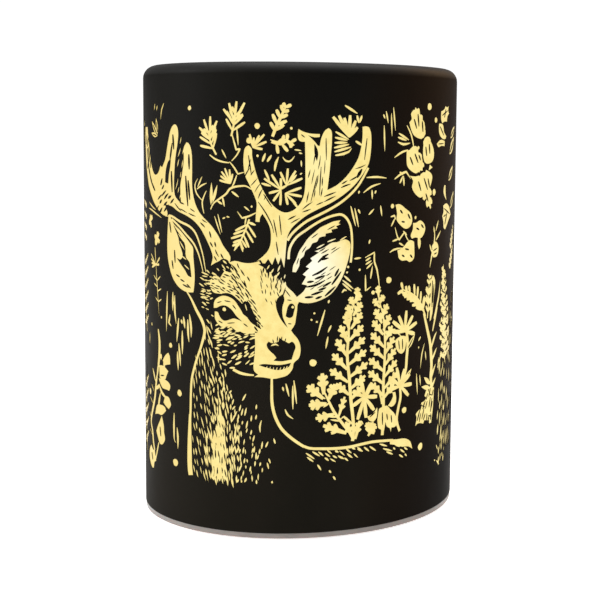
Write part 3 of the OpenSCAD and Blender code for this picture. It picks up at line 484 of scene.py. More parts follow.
def fir_sprigs():
    """Sprigs hung in and round the antlers."""
    sprig("-63.5,178 -65.5,181.5 -67,185.5 -67.5,189", 7.4, 1.35, 44, 2.5, 1.1, seed=11)
    fan((-66.8, 185.5), "-72.6,190.4 -70,194 -66.6,195.4 -63.2,193.4", 1.4, 0.3)
    stroke(GOLD, 0.9, "-67,178 -64,176 -60,174.8 -57,174.5", 0.6, 0.5)
    sprig("-56.2,186.5 -55.4,189.5 -54.6,193.5 -54,196", 7.2, 1.35, 42, 2.4, 1.1, seed=12)
    fan((-54.8, 192.5), "-60,198.8 -57.2,201.4 -53.6,202.2 -49.8,201.6", 1.4, 0.3)
    stroke(GOLD, 0.9, "-56,188 -54.5,183 -53.8,180.5 -52,180.8 -53.5,178 -56,175.3", 0.6, 0.5)
    strokes(GOLD, 0.9, """-53.5,190>-52.8,182.5 -57,175>-54.5,172>-53,169.5>-50,170.3
        -53.5,169>-55,165>-56.5,162.5 -60.8,180.5>-58.6,176.5""")
    fan((-56.5, 165), "-61.5,168.5 -61,170.5 -59.3,172 -57,171.5 -55.5,169.5 -62,166.5", 1.1)
    stroke(GOLD, 1.0, """-46.5,162.5 -49,164 -52,164 -55.5,163.3 -57,162.5 -58.5,160.5 -62,158 -65,155.8
        -66.5,153""", 0.5, 0.6)
    leaf((-66.3, 155), (-66, 165.5), 1.7, 0.0)
    leaf((-65.5, 156), (-63, 164.5), 1.6, 0.0)
    strokes(GOLD, 1.1, "-56,161.5>-52.5,159 -60.5,159>-59.5,154.5 -63,157>-60.5,155.5")
    stroke(GOLD, 0.9, "-70,151 -71,156 -70,159 -68.7,161.5", 0.5, 0.5)
    strokes(GOLD, 0.9, "-71,157>-74,160>-75,164>-73.3,167 -74,162>-71,164>-68.5,165 -73.5,163>-71,168")
    dot(GOLD, -47.8, 184.6, 1.3)
    fan((-46, 181.5), "-45.5,186 -43,187 -40.7,187.5 -39.7,184.2 -41.5,180.8 -47.5,187.5", 1.2)
    sprig("-37,186.5 -35.3,191 -33.2,195.5 -30.8,200.5", 5.0, 1.7, 44, 2.8, 1.5, seed=1)
    dot(GOLD, -28.5, 190.3, 0.6)
    stroke(GOLD, 0.9, "-38,185.2 -34,184 -31,185.5", 0.5, 0.5)
    sprig("-37.5,184.2 -33.5,183.2 -30,184.6 -27.2,182.6", 4.4, 1.6, 58, 2.3, 1.3, seed=2)
    fan((-33, 162.5), "-40.8,167.6 -37.4,169.4 -33.2,167.8 -38.6,161 -36.6,157.4 -33.4,155.6", 1.25, 0.3)
    fan((-30.6, 164.5), "-33.4,170.6 -30,172.2 -26.4,171.2 -23.4,167.8", 1.2, 0.3)
    fan((-31.2, 161), "-23.8,163.6 -23.6,159.6 -26.4,156.4 -30,155.8", 1.25, 0.3)
    strokes(GOLD, 1.2, """-34,162.6>-30,164.8 -40.6,171.6>-38.2,166.4 -42,165.4>-37.6,164.2
        -29,166>-26,169.4 -28.4,158.6>-25,153.8""")
    sprig("-47.6,149 -49,145 -51,140.5 -52.6,136.6", 6.8, 1.2, 50, 2.3, 1.0, seed=14)
    strokes(GOLD, 1.3, "-52,139>-54.8,134.4 -51.6,138.6>-50.6,134 -48,147.6>-44.6,146.4")
    stroke(GOLD, 0.9, "-44.5,152 -48,150.3 -51,149.5 -53.3,152.5", 0.5, 0.3)
    strokes(GOLD, 0.8, """-49,150>-49.7,146 -50,154.8>-47.5,152.8 -60.5,149>-59,149.5 -58.5,150>-57,149.7
        -64.5,150>-61.5,141.7 -62.8,151>-60.7,142.5 -32.3,177.3>-31,175.7>-29,175.5>-27,177.8""")
    strokes(GOLD, 1.25, "-41.6,175.2>-40.2,179 -39.4,175.2>-37.4,178.2 -36,171>-35.4,174.6>-34.2,177.4")
    dot(GOLD, -46.5, 154.8, 0.5)
    dot(GOLD, -43.8, 177.8, 0.6)
    fan((-1.6, 186.4), "-9.4,195.6 -6.6,196.2 -4,195.2 -1.2,196.4 1.6,194 2.6,191", 1.75, 0.35)
    strokes(GOLD, 1.25, """-8.2,188.9>-1.8,185.4 -8.4,186.3>-2.4,185 -8.6,183.9>-2.4,184
        -8.8,181.6>-1.6,183.2 -8.6,179.8>-0.6,182 -8.2,178.2>-1.8,179.8>-0.4,181.4 -3.8,200.8>2.4,197.2
        1.6,184.7>5,182.7 2.2,196.4>3.1,192.9 4.7,196.3>3.5,193""")


def top_left_marks():
    strokes(GOLD, 1.1, "-104,201.5>-105,198 -101.5,200.5>-102.5,198 -95.5,201.5>-97.5,198.5>-98.5,193.5")
    leaf((-101.5, 186), (-108, 193.5), 2.6)
    leaf((-101.5, 187), (-103, 195), 2.4)
    leaf((-102, 186), (-108.5, 187.5), 2.2)
    lobed((-113, 143.5), (-107.5, 148), 3.4, 2)
    lobed((-111, 148.5), (-109.5, 141.5), 3.0, 2)
    lobed((-104.5, 134), (-101, 141), 3.6, 2)
    lobed((-105.6, 138.6), (-99.6, 135.6), 3.0, 2)
    stroke(GOLD, 1.0, "-104.4,130 -103.5,120 -102.5,113 -101,100", 0.6, 0.5)
    fan((-104, 124.5), "-105,133 -110,129.5 -110,127 -109.5,125 -109,123 -100,128.5 -100.5,125", 1.2)
    strokes(GOLD, 0.9, """-103,117>-107,119.5 -102.7,114>-106.5,115.5 -102.8,117>-99.4,119.5
        -102.3,112>-98.8,113.5 -101.8,107>-105,109 -101.6,107>-98.5,108.5""")


def loose_dots():
    """The dots strewn over the front."""
    dots("""46.2,201,1.8 52,194.7,1.4 51.3,160,1.6 20.2,119.8,1.6 30.8,56.3,1.6 42.8,36.3,1.9 -18,83,1.7
        -44,191.2,1.3 -78,199.2,1.1 -85,65.2,1.6 -88,31,1.9 -91.2,87.3,1.3 -98.8,99.8,0.7 -109.5,95,0.9
        -112.5,61.2,1.7 11.5,114.5,1.0 -1.5,127,0.6 4.3,125.5,0.6 -2,124.5,0.5 -17.5,106,0.5 -18.8,103,0.5
        -16.3,102,0.5 38,181.5,0.9 36.7,148.5,0.8""")


def rain_strokes():
    """Loose strokes right of the ear, and left of the neck."""
    strokes(GOLD, 1.0, """16,197>17,195 17.5,198.5>18.8,193 20.5,197.5>21,187 21.7,200.3>23,189.5
        16.5,192>17,180 7.3,168>13,168.2>18.2,167.6 5.8,161>10,163.8>15,165.2 10.3,162.3>10.5,158
        12.5,162>11.8,160.5 3.8,162>3.3,160.7 8.7,150.8>11.5,153.5 15,155>15.8,150 9.5,139.3>9,137.3
        -0.5,155>2,145.8 1.5,154>3.5,145.3 3.2,153.5>4.3,151.5 1.5,130.7>5,131
        7,131>12,133.3>12,129>13.5,125>15.2,114.5 7.3,129.5>10,131 7.3,127.8>10.5,129.5 7.8,125.8>11,128.5
        10,121>11,127 7.3,123>7.5,115.5>10.3,117.3 -3.5,123>0,120 -4.2,121>1.2,116.7 -4.2,119.5>0.3,115.7
        -4.5,115.2>-3.3,116.5>-2,116 -10.5,112>-11,110.5 -12.5,107.5>-16,95.5 -9.5,100.2>-11,97
        -11,95>-12,89.5""", start=0.4)
    strokes(GOLD, 1.5, """-88.8,55>-89,45>-88.5,41.5>-87.5,40.8 -86.8,48.3>-86.3,44>-86.3,38
        -93.5,113>-94,105>-94.5,93.5 -91.5,102>-92.5,98>-90.5,96.5 -89.3,113>-89.5,104
        -88,111.5>-88,104>-87,98 -85.3,101>-86,96>-86.7,89.5 -85.3,89>-84.8,84>-84.2,78.3 -86.3,85>-85.8,76
        -83.7,100.5>-83,98.5 -82.2,102>-81.3,96.5 -83,95.3>-83,84 -79.5,101>-79.3,94>-78.8,90.3
        -78.5,103.5>-77.5,97>-77.5,92.7 -112.5,91>-113,84""", start=0.4)


def fern(stem, leaflets, crown):
    """A tall fern: a tapering stem, its leaflets and the smaller ones of its crown, written "tip>base"."""
    brush(GOLD, points(stem), 1.7, 1.0, 0.4, 0.2)
    for tip, (u, z) in routes(leaflets):
        oak((u, z - 2.4), tip, 3.5)
    for tip, base in routes(crown):
        oak(base, tip, 2.8)


def tall_ferns():
    fern("1.5,45 2,50 1.5,57 0.7,63 0,70 -0.5,76 -1.3,82 -1.5,88 -1,94 -0.8,100 0.5,106 3,114.5",
         """-2.6,105.5>-0.6,100 -5.2,100>-1,93.5 -7,93.6>-1.5,87.5 -8.8,86.8>-1.5,81.5 -10,79.6>-1,75.5
             -7,72.8>-0.4,69.5 -1.4,109.5>0.2,104.5 5.6,105.5>0.2,100.5 6.4,99.4>-0.7,95 7.4,93.6>-1.2,89
             8.2,87.6>-1.2,83.5 9,81.6>-0.8,77.5 7.8,75.6>-0.2,72 5.4,110.3>1.2,106.5 6,70.4>0.3,67""",
         "-0.4,113>1.6,108.5 4.9,114.4>2.2,110 3.4,117.4>2.8,112")
    fern("17.5,46 18,60 17.8,70 18.3,80 18.5,90 17.8,98 17,104 15,110 14.3,113.5",
         """12.6,106.6>16.6,102 11.4,101.2>17.4,96.5 10.6,95.4>18,90.5 10.2,89.6>18.2,85 9.6,83.4>18,79
             9.4,77.4>17.8,73 10.8,71.4>17.7,67.5 19.6,108.6>16,104 21.2,103.4>17.3,98.5 22.6,98>18.2,93
             23.8,92.6>18.4,87 24.8,87>18.3,81.5 25.6,81.2>18.1,76 26.2,75.6>18,70.5 24.4,70.6>18,66""",
         "11.6,111.4>15.4,107 17.4,113>15.2,109 14,117.6>14.6,112")
    strokes(GOLD, 1.3, "18,92.5>24,96>28,92.5 1.5,53>-3,57>-4.5,56 1.6,50>6,54>7,52.5")


def meadow_flowers():
    fan((30.5, 94.5), "26.4,102.4 22.8,100 22.6,95 31.4,104.4 35.8,101.6 38.8,98 37.4,92.6", 2.1, 0.5)
    area(GOLD, "24.5,91 25,87 27,84.5 29,84 31,86 31.4,92 28,92.6")
    strokes(BLACK, 0.5, "26.6,90.5>27.2,86.2 29,91>29.2,86")
    stroke(GOLD, 1.9, "31.6,95 32.5,88 32,82 31.5,76 29.5,70", 0.9, 0.8)
    leaf((32.4, 85.5), (37.6, 92.5), 2.4)
    leaf((30.4, 70), (35.4, 76), 2.4)
    fan((28, 68.5), "21.4,73.4 25.6,77.6 21.4,67.4 35.8,68.4 33.6,63 30.6,76.4 34.4,73.4", 2.1, 0.5)
    stroke(GOLD, 1.7, "27.8,68 28.3,63 27,58 26,52 28,46.5", 0.9, 0.9)
    fan((7.5, 65.5), "5.6,73.4 1.2,68.6 14.4,65 1.4,61.6 4,55 8.4,55.4 12.8,58.6 11.4,72", 2.1, 0.5)
    stroke(GOLD, 1.4, "9,66 11,70 14,69.5 16,66 17,61", 0.6, 0.6)
    area(GOLD, """15.5,59 15,50 17,48.5 18,46 19,50 19.3,52 20,50 22,48.5 22.3,46 23,49 25,49 26,50 25,55
        22,58 20,60""")
    strokes(BLACK, 0.6, "17.4,57>17.6,51 20,56>20.4,53 22.6,55>23,51.4")
    area(GOLD, "20.5,60 23,59 25.5,61 25,66 23,66 23.5,64")
    area(GOLD, "9,53 8,50 10,48 13,47 13.5,50 12.5,53")
    area(GOLD, "9,56 12,57 14.5,60 14.3,55 12.5,53 10,54")
    strokes(BLACK, 0.5, "9.4,52>12.2,48.5 10.5,55.6>13.4,57.6")
    oak((1.4, 46.5), (-2, 54.5), 3.4)
    oak((3, 45.8), (5, 54.4), 3.2)
    oak((9.6, 46.6), (13.6, 52), 3.6)
    oak((11.4, 49), (8.4, 53), 2.8)


def meadow_left():
    stroke(GOLD, 1.4, "3,46 -3,53 -8,60 -11,66 -13,70", 0.9, 0.5)
    for base, tip in routes("""-12.8,68>-13.6,78 -13,66>-20.6,72.4 -11.4,63.6>-19.8,63.2
        -10.4,65.6>-7.4,72.6"""):
        oak(base, tip, 4.4)
    oak((-7.5, 58.6), (-16.6, 56.8), 3.8)
    oak((-1.6, 49), (-13, 53.4), 4.2)
    oak((-5.6, 57), (-2.6, 66.4), 2.8)
    strokes(GOLD, 1.0, "-6,57>-11,57.6 -4.5,55>-9.5,56 -12,66>-15.5,67.5 -10,64>-13,62")


def fan_flower():
    """The tall umbel right of the ferns."""
    stroke(GOLD, 2.6, "27,114.3 31,112 35,110 40,107 44,103", 0.3, 0.6)
    sprig("45.5,100 42,106 37,110.8 28.5,114.8", 6.4, 1.8, 46, 2.7, 1.5, seed=3)
    sprig("47,99 48,107 48,113 48.6,119.5", 4.6, 1.6, 38, 2.6, 1.2, seed=4)
    stroke(GOLD, 2.7, "44,102 47,94 50,86 51,80 51.5,75 51,70 52,62 52,55 51,46.5", 0.6, 0.9)
    area(GOLD, "49.5,112 50,118 51.3,119.8 53,118.5 54,116 52.6,108 50.5,98 49,97")
    strokes(BLACK, 0.6, "51.2,117>51,104 52.6,115>51.6,106")
    for route in ("53,98 57.5,108 59.3,117.2", "52,92 55.5,101 57,103.5", "51.2,84 54,89 56.5,91.5",
                  "51.3,77 54.5,81 56.8,83.5", "51,68 53.5,72.5 55.8,75.5", "51.6,63 54,66.5 56,68.5"):
        stroke(GOLD, 1.9, route, 0.6, 0.15)
    leaf((50.4, 66), (45, 70.2), 2.6, 0.0)
    leaf((50.6, 64), (43, 65.8), 2.4, 0.0)
    area(GOLD, "45.5,61 47,63.6 49,63.4 49.5,60.5 47.5,59.5")
    area(GOLD, """38.5,47 40.5,48 42.5,48 45,47.2 46,48.8 50,48 50.3,46.2 51.5,46.5 53,50 54,57 54.5,63.5
        50,65 48.5,61 45.5,58.5 43,58 42.5,55.5 40,54 38.8,53 39.5,51.5""")
    hatch(BLACK, "40,49 53,49 54,63 49,62 42,55", 74, 4.6, 0.6, 1.5, seed=32)
    strokes(BLACK, 0.6, "43.5,56.5>46,55.4 50.3,61>52.6,60 49.5,50.5>52,49.5 52.8,57>51,52")
    strokes(GOLD, 1.1, """39,73>40,62.5 41.5,72>42.3,66.5 45,87>43,82>42,75 45.7,83>46.5,78.3
        42,90.7>40,88.7 40.2,86>40.7,85""")


def tall_spire():
    """The flower spire at the right, with its leafy foot."""
    stroke(GOLD, 2.2, "62.8,124 63.5,112 64.5,100 65.5,88 66,79", 0.3, 0.8)
    dice = random.Random(6)
    for k in range(13):
        z = 121 - 3.4 * k
        reach = 2.2 + 6.0 * (1 - (1 - min(1.0, k / 10)) ** 1.6)
        mid = 63 + 0.24 * k
        for side in (-1, 1):
            share = (0.75 if side < 0 else 1.0) * dice.uniform(0.72, 1.12)
            tip = (mid + side * reach * share, z + dice.uniform(-0.8, 2.8))
            lobed((mid, z - 2.6), tip, 3.3, 2)
    strokes(BLACK, 0.7, """61,111>66,109 61,105.5>65,102.5 60,99.8>65,97.5 60,95>64,93.5 59.5,90>66,86
        61,82>65,80.5 64,117>66.5,115 66.5,94>71,91.5 67,101>70,99""")
    stroke(GOLD, 1.6, "57.5,73 60,77 62.5,78.5 66,76.5 68,73", 0.4, 0.4)
    hatch(GOLD, "58,42 58,76 67,78 68,40 64,38 61,40", 85, 8.0, 1.5, 1.25, seed=33, wander=6)
    hatch(GOLD, "60,25 60.5,38 66.5,38 68,27 65,24", 80, 5.0, 1.5, 1.2, seed=34, wander=8)
    hatch(GOLD, "69.5,30 69.5,96 77,99 82,96 83,40 78,30", 86, 9.0, 1.7, 1.7, seed=29, wander=6)
    strokes(GOLD, 1.0, "55.5,26.7>57,26.2 58,26>61.5,23 57.5,34>59.5,31")


def berries():
    """Two hanging bunches of round fruit with their sprigs."""
    area(GOLD, """34.5,199.5 32.5,197.5 33,195 31.5,193.5 32.5,190.5 34.5,187.5 38,186 41,186 42.3,187
        42.3,193.5 40.5,195 39.5,197 37,198.5""")
    area(GOLD, "42.2,185.6 46,185.5 49,183 50.8,179 50,175.5 47,174 43,174.5 41.5,178 41.5,182")
    area(GOLD, "30,180 33,180.8 37,180 40,178 41.5,174 40,171.5 37,169.5 33.5,170.5 30.5,173 30,176")
    area(GOLD, """32,168.5 36,168 39,168.3 42,167 44,171 47,170 49.5,168 49,165 47.5,162 48,157 49,152.5
        47.8,152 45.5,156 43,158.5 40,157.8 36.5,159.5 33.8,163 34.5,166""")
    facet(GOLD, "47,173.6 49.7,172 46,170.5")
    lobed((41, 186), (35.4, 200.6), 8.0, 4)
    lobed((43.5, 186.5), (48.6, 175), 7.4, 3)
    lobed((33, 181.5), (41.4, 170.5), 8.4, 3)
    lobed((41, 169.5), (48.2, 152.5), 9.0, 4)
    strokes(BLACK, 0.8, """40.6,194>41.2,189 37.4,197.4>38.2,191.5 34.8,195>36.6,190.6 46.4,183.2>47,178.6
        43.6,182>44.4,177.6 35.6,178.8>38,174.4 32.4,177.2>34.4,173.4 38.4,178.2>39.8,175.6
        42.6,167>45.6,161.4 38.4,165.6>40.4,161 45.8,166.8>47.2,162.4 44.2,159.6>46.2,155.8""")
    stroke(GOLD, 1.1, "30,192 33,187.5 35,180.5", 0.5, 0.5)
    stroke(GOLD, 1.1, "22.5,177 27,179.5 31,180.5", 0.3, 0.6)
    strokes(GOLD, 1.2, """25,188.3>31.5,185.2 24.5,186.5>30,185 24.5,184.3>28,183.2>32.3,183.8
        22.8,167>27,169.5>30,170.3>33,167 25.8,170.3>28,169 26,165>28,168.5 28.7,163.8>28.3,168.5""")
    area(GOLD, """23.5,155 26,155.3 30,153 33.5,150.5 34.5,147 33,144.3 30,143.5 26.5,145.5 24.3,148
        24.5,151""")
    area(GOLD, """34.9,146 37,146 40,147 43,145.5 44.3,143 43,140 40.5,138.3 37,139 34.4,138.5 33.4,140
        34.8,143""")
    area(GOLD, """25.5,131.5 25,133.5 28,134.5 33,138 36,137 36.3,133 36,129 33,127.5 31,128.5 28,128.5
        25.8,130""")
    strokes(BLACK, 0.9, """26.5,152.5>28,150.8 27.5,147>29.5,146.7 31.5,150.5>33,148 37.5,143.5>39.5,142.5
        41,145>42.8,143.2 30,134>32.5,133.4 33.4,131>34.8,129.4 28,131.2>29.6,130.2""")
    strokes(GOLD, 1.0, """23.5,144.5>25,140>26,138.5>29.5,142>31,139>34,136 22,138>26,139
        20.5,132.8>23,134>28,134.5 20.8,149.5>23,150>24,148 21.2,145>23.5,149 28.5,142.5>31,140.5
        26,137>29,135.5""")
    dot(GOLD, 21.8, 154.5, 1.1, 8)
    area(GOLD, "38.5,139 38.5,135.5 39.5,133 40.7,134.5 40.5,138")
    stroke(GOLD, 1.6, "48.5,123.5 50,129 51.5,133 52.5,137 52.3,141.5", 0.3, 0.6)
    strokes(GOLD, 1.4, "53.5,141>56.2,146.4 53.8,136.5>59,141 50.2,131>48,135 52.3,140>51.5,143.5")
    area(GOLD, "50,134 53,136 56,134.5 56.8,131.5 55,128.5 51,128.5")
    strokes(BLACK, 0.6, "51.5,131.5>55,132.6 52.5,129.8>54.8,130.4")


def right_margin():
    """Leaves that turn away round the right side."""
    area(GOLD, """57,199 60.5,200 62,201.8 64,201 66.8,202 66,199.5 67.3,198 65,196.5 64.5,194 61,194
        58.5,193 57,195""")
    area(GOLD, "55,193 59.5,192.5 61,189 63.8,187 63,185.8 58.5,185.9 55.5,188 54.8,191")
    area(GOLD, "53,183.3 56,185 58.5,185.2 62,184.5 61.8,182 58,182.3 54.5,181.7")
    strokes(BLACK, 0.6, "58.5,197>65,199.4 56.3,191.6>60.4,187.4 55,183.2>60.4,183.4 61,196>62.6,200")
    area(GOLD, "62,163 64,163 64.5,158 66,155 63,157 61,160")
    area(GOLD, "61,153 65,154 70,152 73,148 69,145 64.5,141 62,142 61.5,145 60,148 61.5,150")
    strokes(BLACK, 0.6, "62.5,151.5>70.5,148.4 63.6,143.6>66.6,149.6 62,147.6>65,148.4")
    leaf((68, 165), (76, 172.5), 4.6, 0.7)
    leaf((71, 151), (80, 160), 4.6, 0.7)
    leaf((69, 178), (78, 187), 5.2, 0.9)
    leaf((70, 186), (79, 192), 4.0, 0.6)
    lobed((72, 121), (79, 133), 6.0)
    lobed((73, 131), (80, 143), 6.0)
    leaf((76, 100), (80.5, 111), 3.4)
    leaf((75, 88), (80, 97), 3.2)


def left_plant():
    """The broad-leaved plant left of the neck."""
    stroke(GOLD, 2.4, "-102,93.6 -100.8,88 -101.2,80 -102,76", 0.6, 0.9)
    stroke(GOLD, 2.3, """-103.6,70.5 -105,65 -106,60 -108,55 -110.5,50 -111.5,46 -109.5,42 -108.5,37
        -107,33""", 0.8, 0.9)
    strokes(GOLD, 2.0, "-108.7,73.5>-105,67 -99.2,82>-99.5,79")
    area(GOLD, "-98,79 -95.5,82 -93,83.5 -91.8,82 -91.5,78 -94,77.5 -96,77")
    area(GOLD, "-101.5,76 -97,76.5 -93,74.5 -94.5,72 -95.5,70.2 -101,70")
    area(GOLD, "-102,69.5 -96,70 -92,68.5 -91.5,67 -92.5,65 -95,65.3 -98.5,65.6")
    area(GOLD, "-97.5,58.6 -96,62 -93,62 -91.5,60 -91,58.5 -93,56 -96,57.5")
    area(GOLD, "-104,56 -100,57 -96,56.5 -95,55 -99,52 -103,52 -106,51")
    area(GOLD, """-99,52 -98,50 -97,47 -96.8,44 -96,41 -97,39 -99,37.5 -101.5,37.8 -103,40 -105,43
        -103.5,45.5 -101,49""")
    stroke(GOLD, 1.5, "-102,38 -104,33 -106,28", 0.7, 0.7)
    area(GOLD, "-111,35 -109,33 -106.5,33 -105,28 -107,27 -108,24 -110.5,23.5 -113,25 -115,28 -114.5,32")
    strokes(GOLD, 2.0, """-101.8,77.5>-102.8,73>-104,69 -101.6,67>-98.6,63>-94,61
        -102.5,54.5>-101.2,59.5>-100,63 -96.4,75.4>-96.8,79.6 -104.4,64>-100.6,66.6""")
    strokes(BLACK, 0.7, "-99.6,71.4>-96.8,71.8 -100.8,46>-100,41.4 -110.8,31>-109.4,27.6")
    strokes(GOLD, 1.1, "-107,62>-111,66 -108.5,56>-113.5,59 -111,48>-114.8,52 -110,40>-114,43")


def moved(du, draw, mirror=1, dz=0.0):
    """Draws a motif again somewhere else on the wall, turned over if mirror is -1."""
    first = len(shapes)
    draw()
    for i in range(first, len(shapes)):
        tone, outline = shapes[i]
        shapes[i] = (tone, [(mirror * u + du, z + dz) for u, z in outline])


def fir(u, foot, height, width, tiers, seed):
    """A fir tree: a thin trunk and tiers of drooping boughs."""
    dice = random.Random(seed)
    brush(GOLD, [(u, foot), (u, foot + 0.95 * height)], 1.8, 1.0, 0.5, 0.1)
    for k in range(tiers):
        t = k / tiers
        z = foot + height * (0.12 + 0.82 * t)
        reach = width / 2 * (1 - t) ** 0.85 + 1.2
        for side in (-1, 1):
            end = (u + side * reach * dice.uniform(0.9, 1.08), z - reach * 0.42)
            brush(GOLD, [(u, z + 1.0), (u + side * reach * 0.5, z - reach * 0.12), end], 1.5, 0.8, 0.3)
            needles = max(2, int(reach / 1.7))
            for n in range(needles):
                share = (n + 1) / (needles + 0.6)
                root = (u + side * reach * share, z - reach * 0.42 * share ** 1.4 + 0.3)
                size = 3.2 * (1.15 - 0.5 * share) * dice.uniform(0.85, 1.1)
                brush(GOLD, [root, (root[0] + side * size * 0.45, root[1] - size)], 1.0, 0.8, 0.3)


def grass(u0, u1, foot, height, gap, seed):
    """A tuft of blades that lean apart."""
    dice = random.Random(seed)
    count = int((u1 - u0) / gap)
    for k in range(count + 1):
        u = u0 + (u1 - u0) * k / count
        lean = dice.uniform(-0.35, 0.35)
        tall = height * dice.uniform(0.55, 1.1)
        middle = (u + lean * tall * 0.35, foot + tall * 0.55)
        brush(GOLD, [(u, foot), middle, (u + lean * tall, foot + tall)], 1.4, 0.7, 0.15, 0.3)


def edge_of_front():
    """What turns out of sight on the left of the front."""
    for z in (137, 142, 147.5, 153):
        lobed((-117, z - 1), (-130, z + 3), 4.4)
    stroke(GOLD, 2.0, "-118,90 -121,104 -121,118 -119,131", 0.9, 0.3)
    for z in (95, 101, 107, 113, 119, 125):
        lobed((-121, z - 2), (-130, z + 3), 4.6)
        lobed((-121, z - 1), (-114.5, z + 4), 3.6)
    stroke(GOLD, 2.0, "-119,30 -121,45 -120,60 -118,74", 0.9, 0.3)
    for z in (36, 43, 50, 57, 64):
        lobed((-120.5, z - 2), (-130, z + 3.5), 5.0)
        lobed((-120.5, z), (-115.5, z + 5), 3.4)
    leaf((-124, 178), (-121, 196), 4.6)
    leaf((-127, 170), (-133, 184), 4.2)


def back_of_shade():
    """The woodland that runs on round the back."""
    fir(101, 26, 148, 32, 15, seed=41)
    moved(140, meadow_left)
    moved(98, berries)
    moved(160, tall_ferns)
    moved(240, fir_sprigs)
    moved(206, meadow_flowers)
    fir(263, 25, 160, 38, 16, seed=44)
    moved(340, berries, mirror=-1, dz=-2)
    moved(371, tall_spire, mirror=-1)
    hatch(GOLD, "119,86 150,86 150,118 119,118", 84, 7.0, 1.1, 5.5, seed=46, wander=7)
    hatch(GOLD, "196,110 240,110 240,128 196,128", 84, 7.0, 1.1, 5.5, seed=47, wander=7)
    for u0, u1, seed in ((118, 158, 52), (196, 246, 53), (280, 300, 54)):
        grass(u0, u1, 24.5, 13, 2.3, seed)
    dots("""92,196,1.7 112,188,1.4 121,60,1.5 158,124,1.3 152,150,1.7 190,122,1.4 158,200,1.6 232,104,1.5
        246,190,1.3 238,84,1.4 280,180,1.7 288,118,1.3 276,200,1.5 312,122,1.6 193,60,1.5 243,60,1.2""")


# --- the coating: one skin with the drawing cut through it -------------------------------------------

coat_low, coat_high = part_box("black_coating")
glass_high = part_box("glass_shade")[1]
HALF_W, HALF_D = coat_high.x, coat_high.y       # semi-axes of the coated outside
COAT_T = HALF_W - glass_high.x
SKIN_T = 1.25 * COAT_T                          # sunk a little into the glass, so that no faces coincide
SHOULDER = 6.2 * MM                             # radius of the shoulder, as in the CAD
CROWN = 1.2 * MM                                # rise from the shoulder to the middle of the top
GLASS_WALL = 3.0 * MM                           # thickness of the glass
ABOVE_NOTCH = 18 * MM                           # the glass is left clear below this, round its notch
WALL_LOW = coat_low.z
WALL_HIGH = coat_high.z - CROWN - SHOULDER
COLUMNS = 184                                   # straight cuts that keep the long triangles round the oval
SHOULDER_STEPS = 8
CROWN_STEPS = 5

# these are in millimetres, like the drawing
SEAM_U = -140.0                                 # where the unrolled wall is cut, clear of the drawing
NOTCH_R, NOTCH_Z = 6.3, 9.5                     # the way past the cable grommet
NOTCH_STEPS = 16
FIT_U, FIT_Z = 0.9873, 0.9896                   # what the drawing is scaled by to sit on the wall ...
SHIFT_U, SHIFT_Z = -0.43, 0.81                  # ... and how far it is moved then
MERGE = 1e-4                                    # points closer than this become one
ON_EDGE = 1e-3                                  # a point this close to an edge of the wall lies on it

# distance along the oval, in millimetres, for angles round it from the middle of the front
angles = np.linspace(-math.pi, 2 * math.pi, 30001)
speed = np.hypot(HALF_W * np.cos(angles), HALF_D * np.sin(angles)) / MM
arc_u = np.concatenate([[0.0], np.cumsum((speed[1:] + speed[:-1]) / 2 * np.diff(angles))])
arc_u -= np.interp(0.0, angles, arc_u)
ROUND = np.interp(math.pi, angles, arc_u) - np.interp(-math.pi, angles, arc_u)


def on_wall(u, z, inward=0.0):
    """Points of the wall in metres, on its outside or on an oval with its half width inward metres less."""
    t = np.interp(u, arc_u, angles)
    shrink = 1 - inward / HALF_W
    return np.stack([shrink * HALF_W * np.sin(t), -shrink * HALF_D * np.cos(t), np.asarray(z) * MM], -1)


def winding(px, pz, outline):
    """Which points an outline goes round, however it crosses itself."""
    turns = np.zeros(len(px), int)
    for (x0, z0), (x1, z1) in zip(outline, outline[1:] + outline[:1]):
        cross = (x1 - x0) * (pz - z0) - (px - x0) * (z1 - z0)
        turns += (z0 <= pz) & (z1 > pz) & (cross > 0)
        turns -= (z0 > pz) & (z1 <= pz) & (cross < 0)
    return turns != 0


def outlines_on_wall():
    """The drawing, set on the wall, and the notch at the back, which is left bare like the gold."""
    laid = [(tone, [(FIT_U * u + SHIFT_U, FIT_Z * z + SHIFT_Z) for u, z in outline])
            for tone, outline in shapes]
    notch_u, below = ROUND / 2, WALL_LOW / MM - 1
    rim = [(notch_u + NOTCH_R * math.cos(a), NOTCH_Z + NOTCH_R * math.sin(a))
           for a in (math.pi * k / NOTCH_STEPS for k in range(NOTCH_STEPS + 1))]
    return laid + [(GOLD, [(notch_u + NOTCH_R, below)] + rim + [(notch_u - NOTCH_R, below)])]


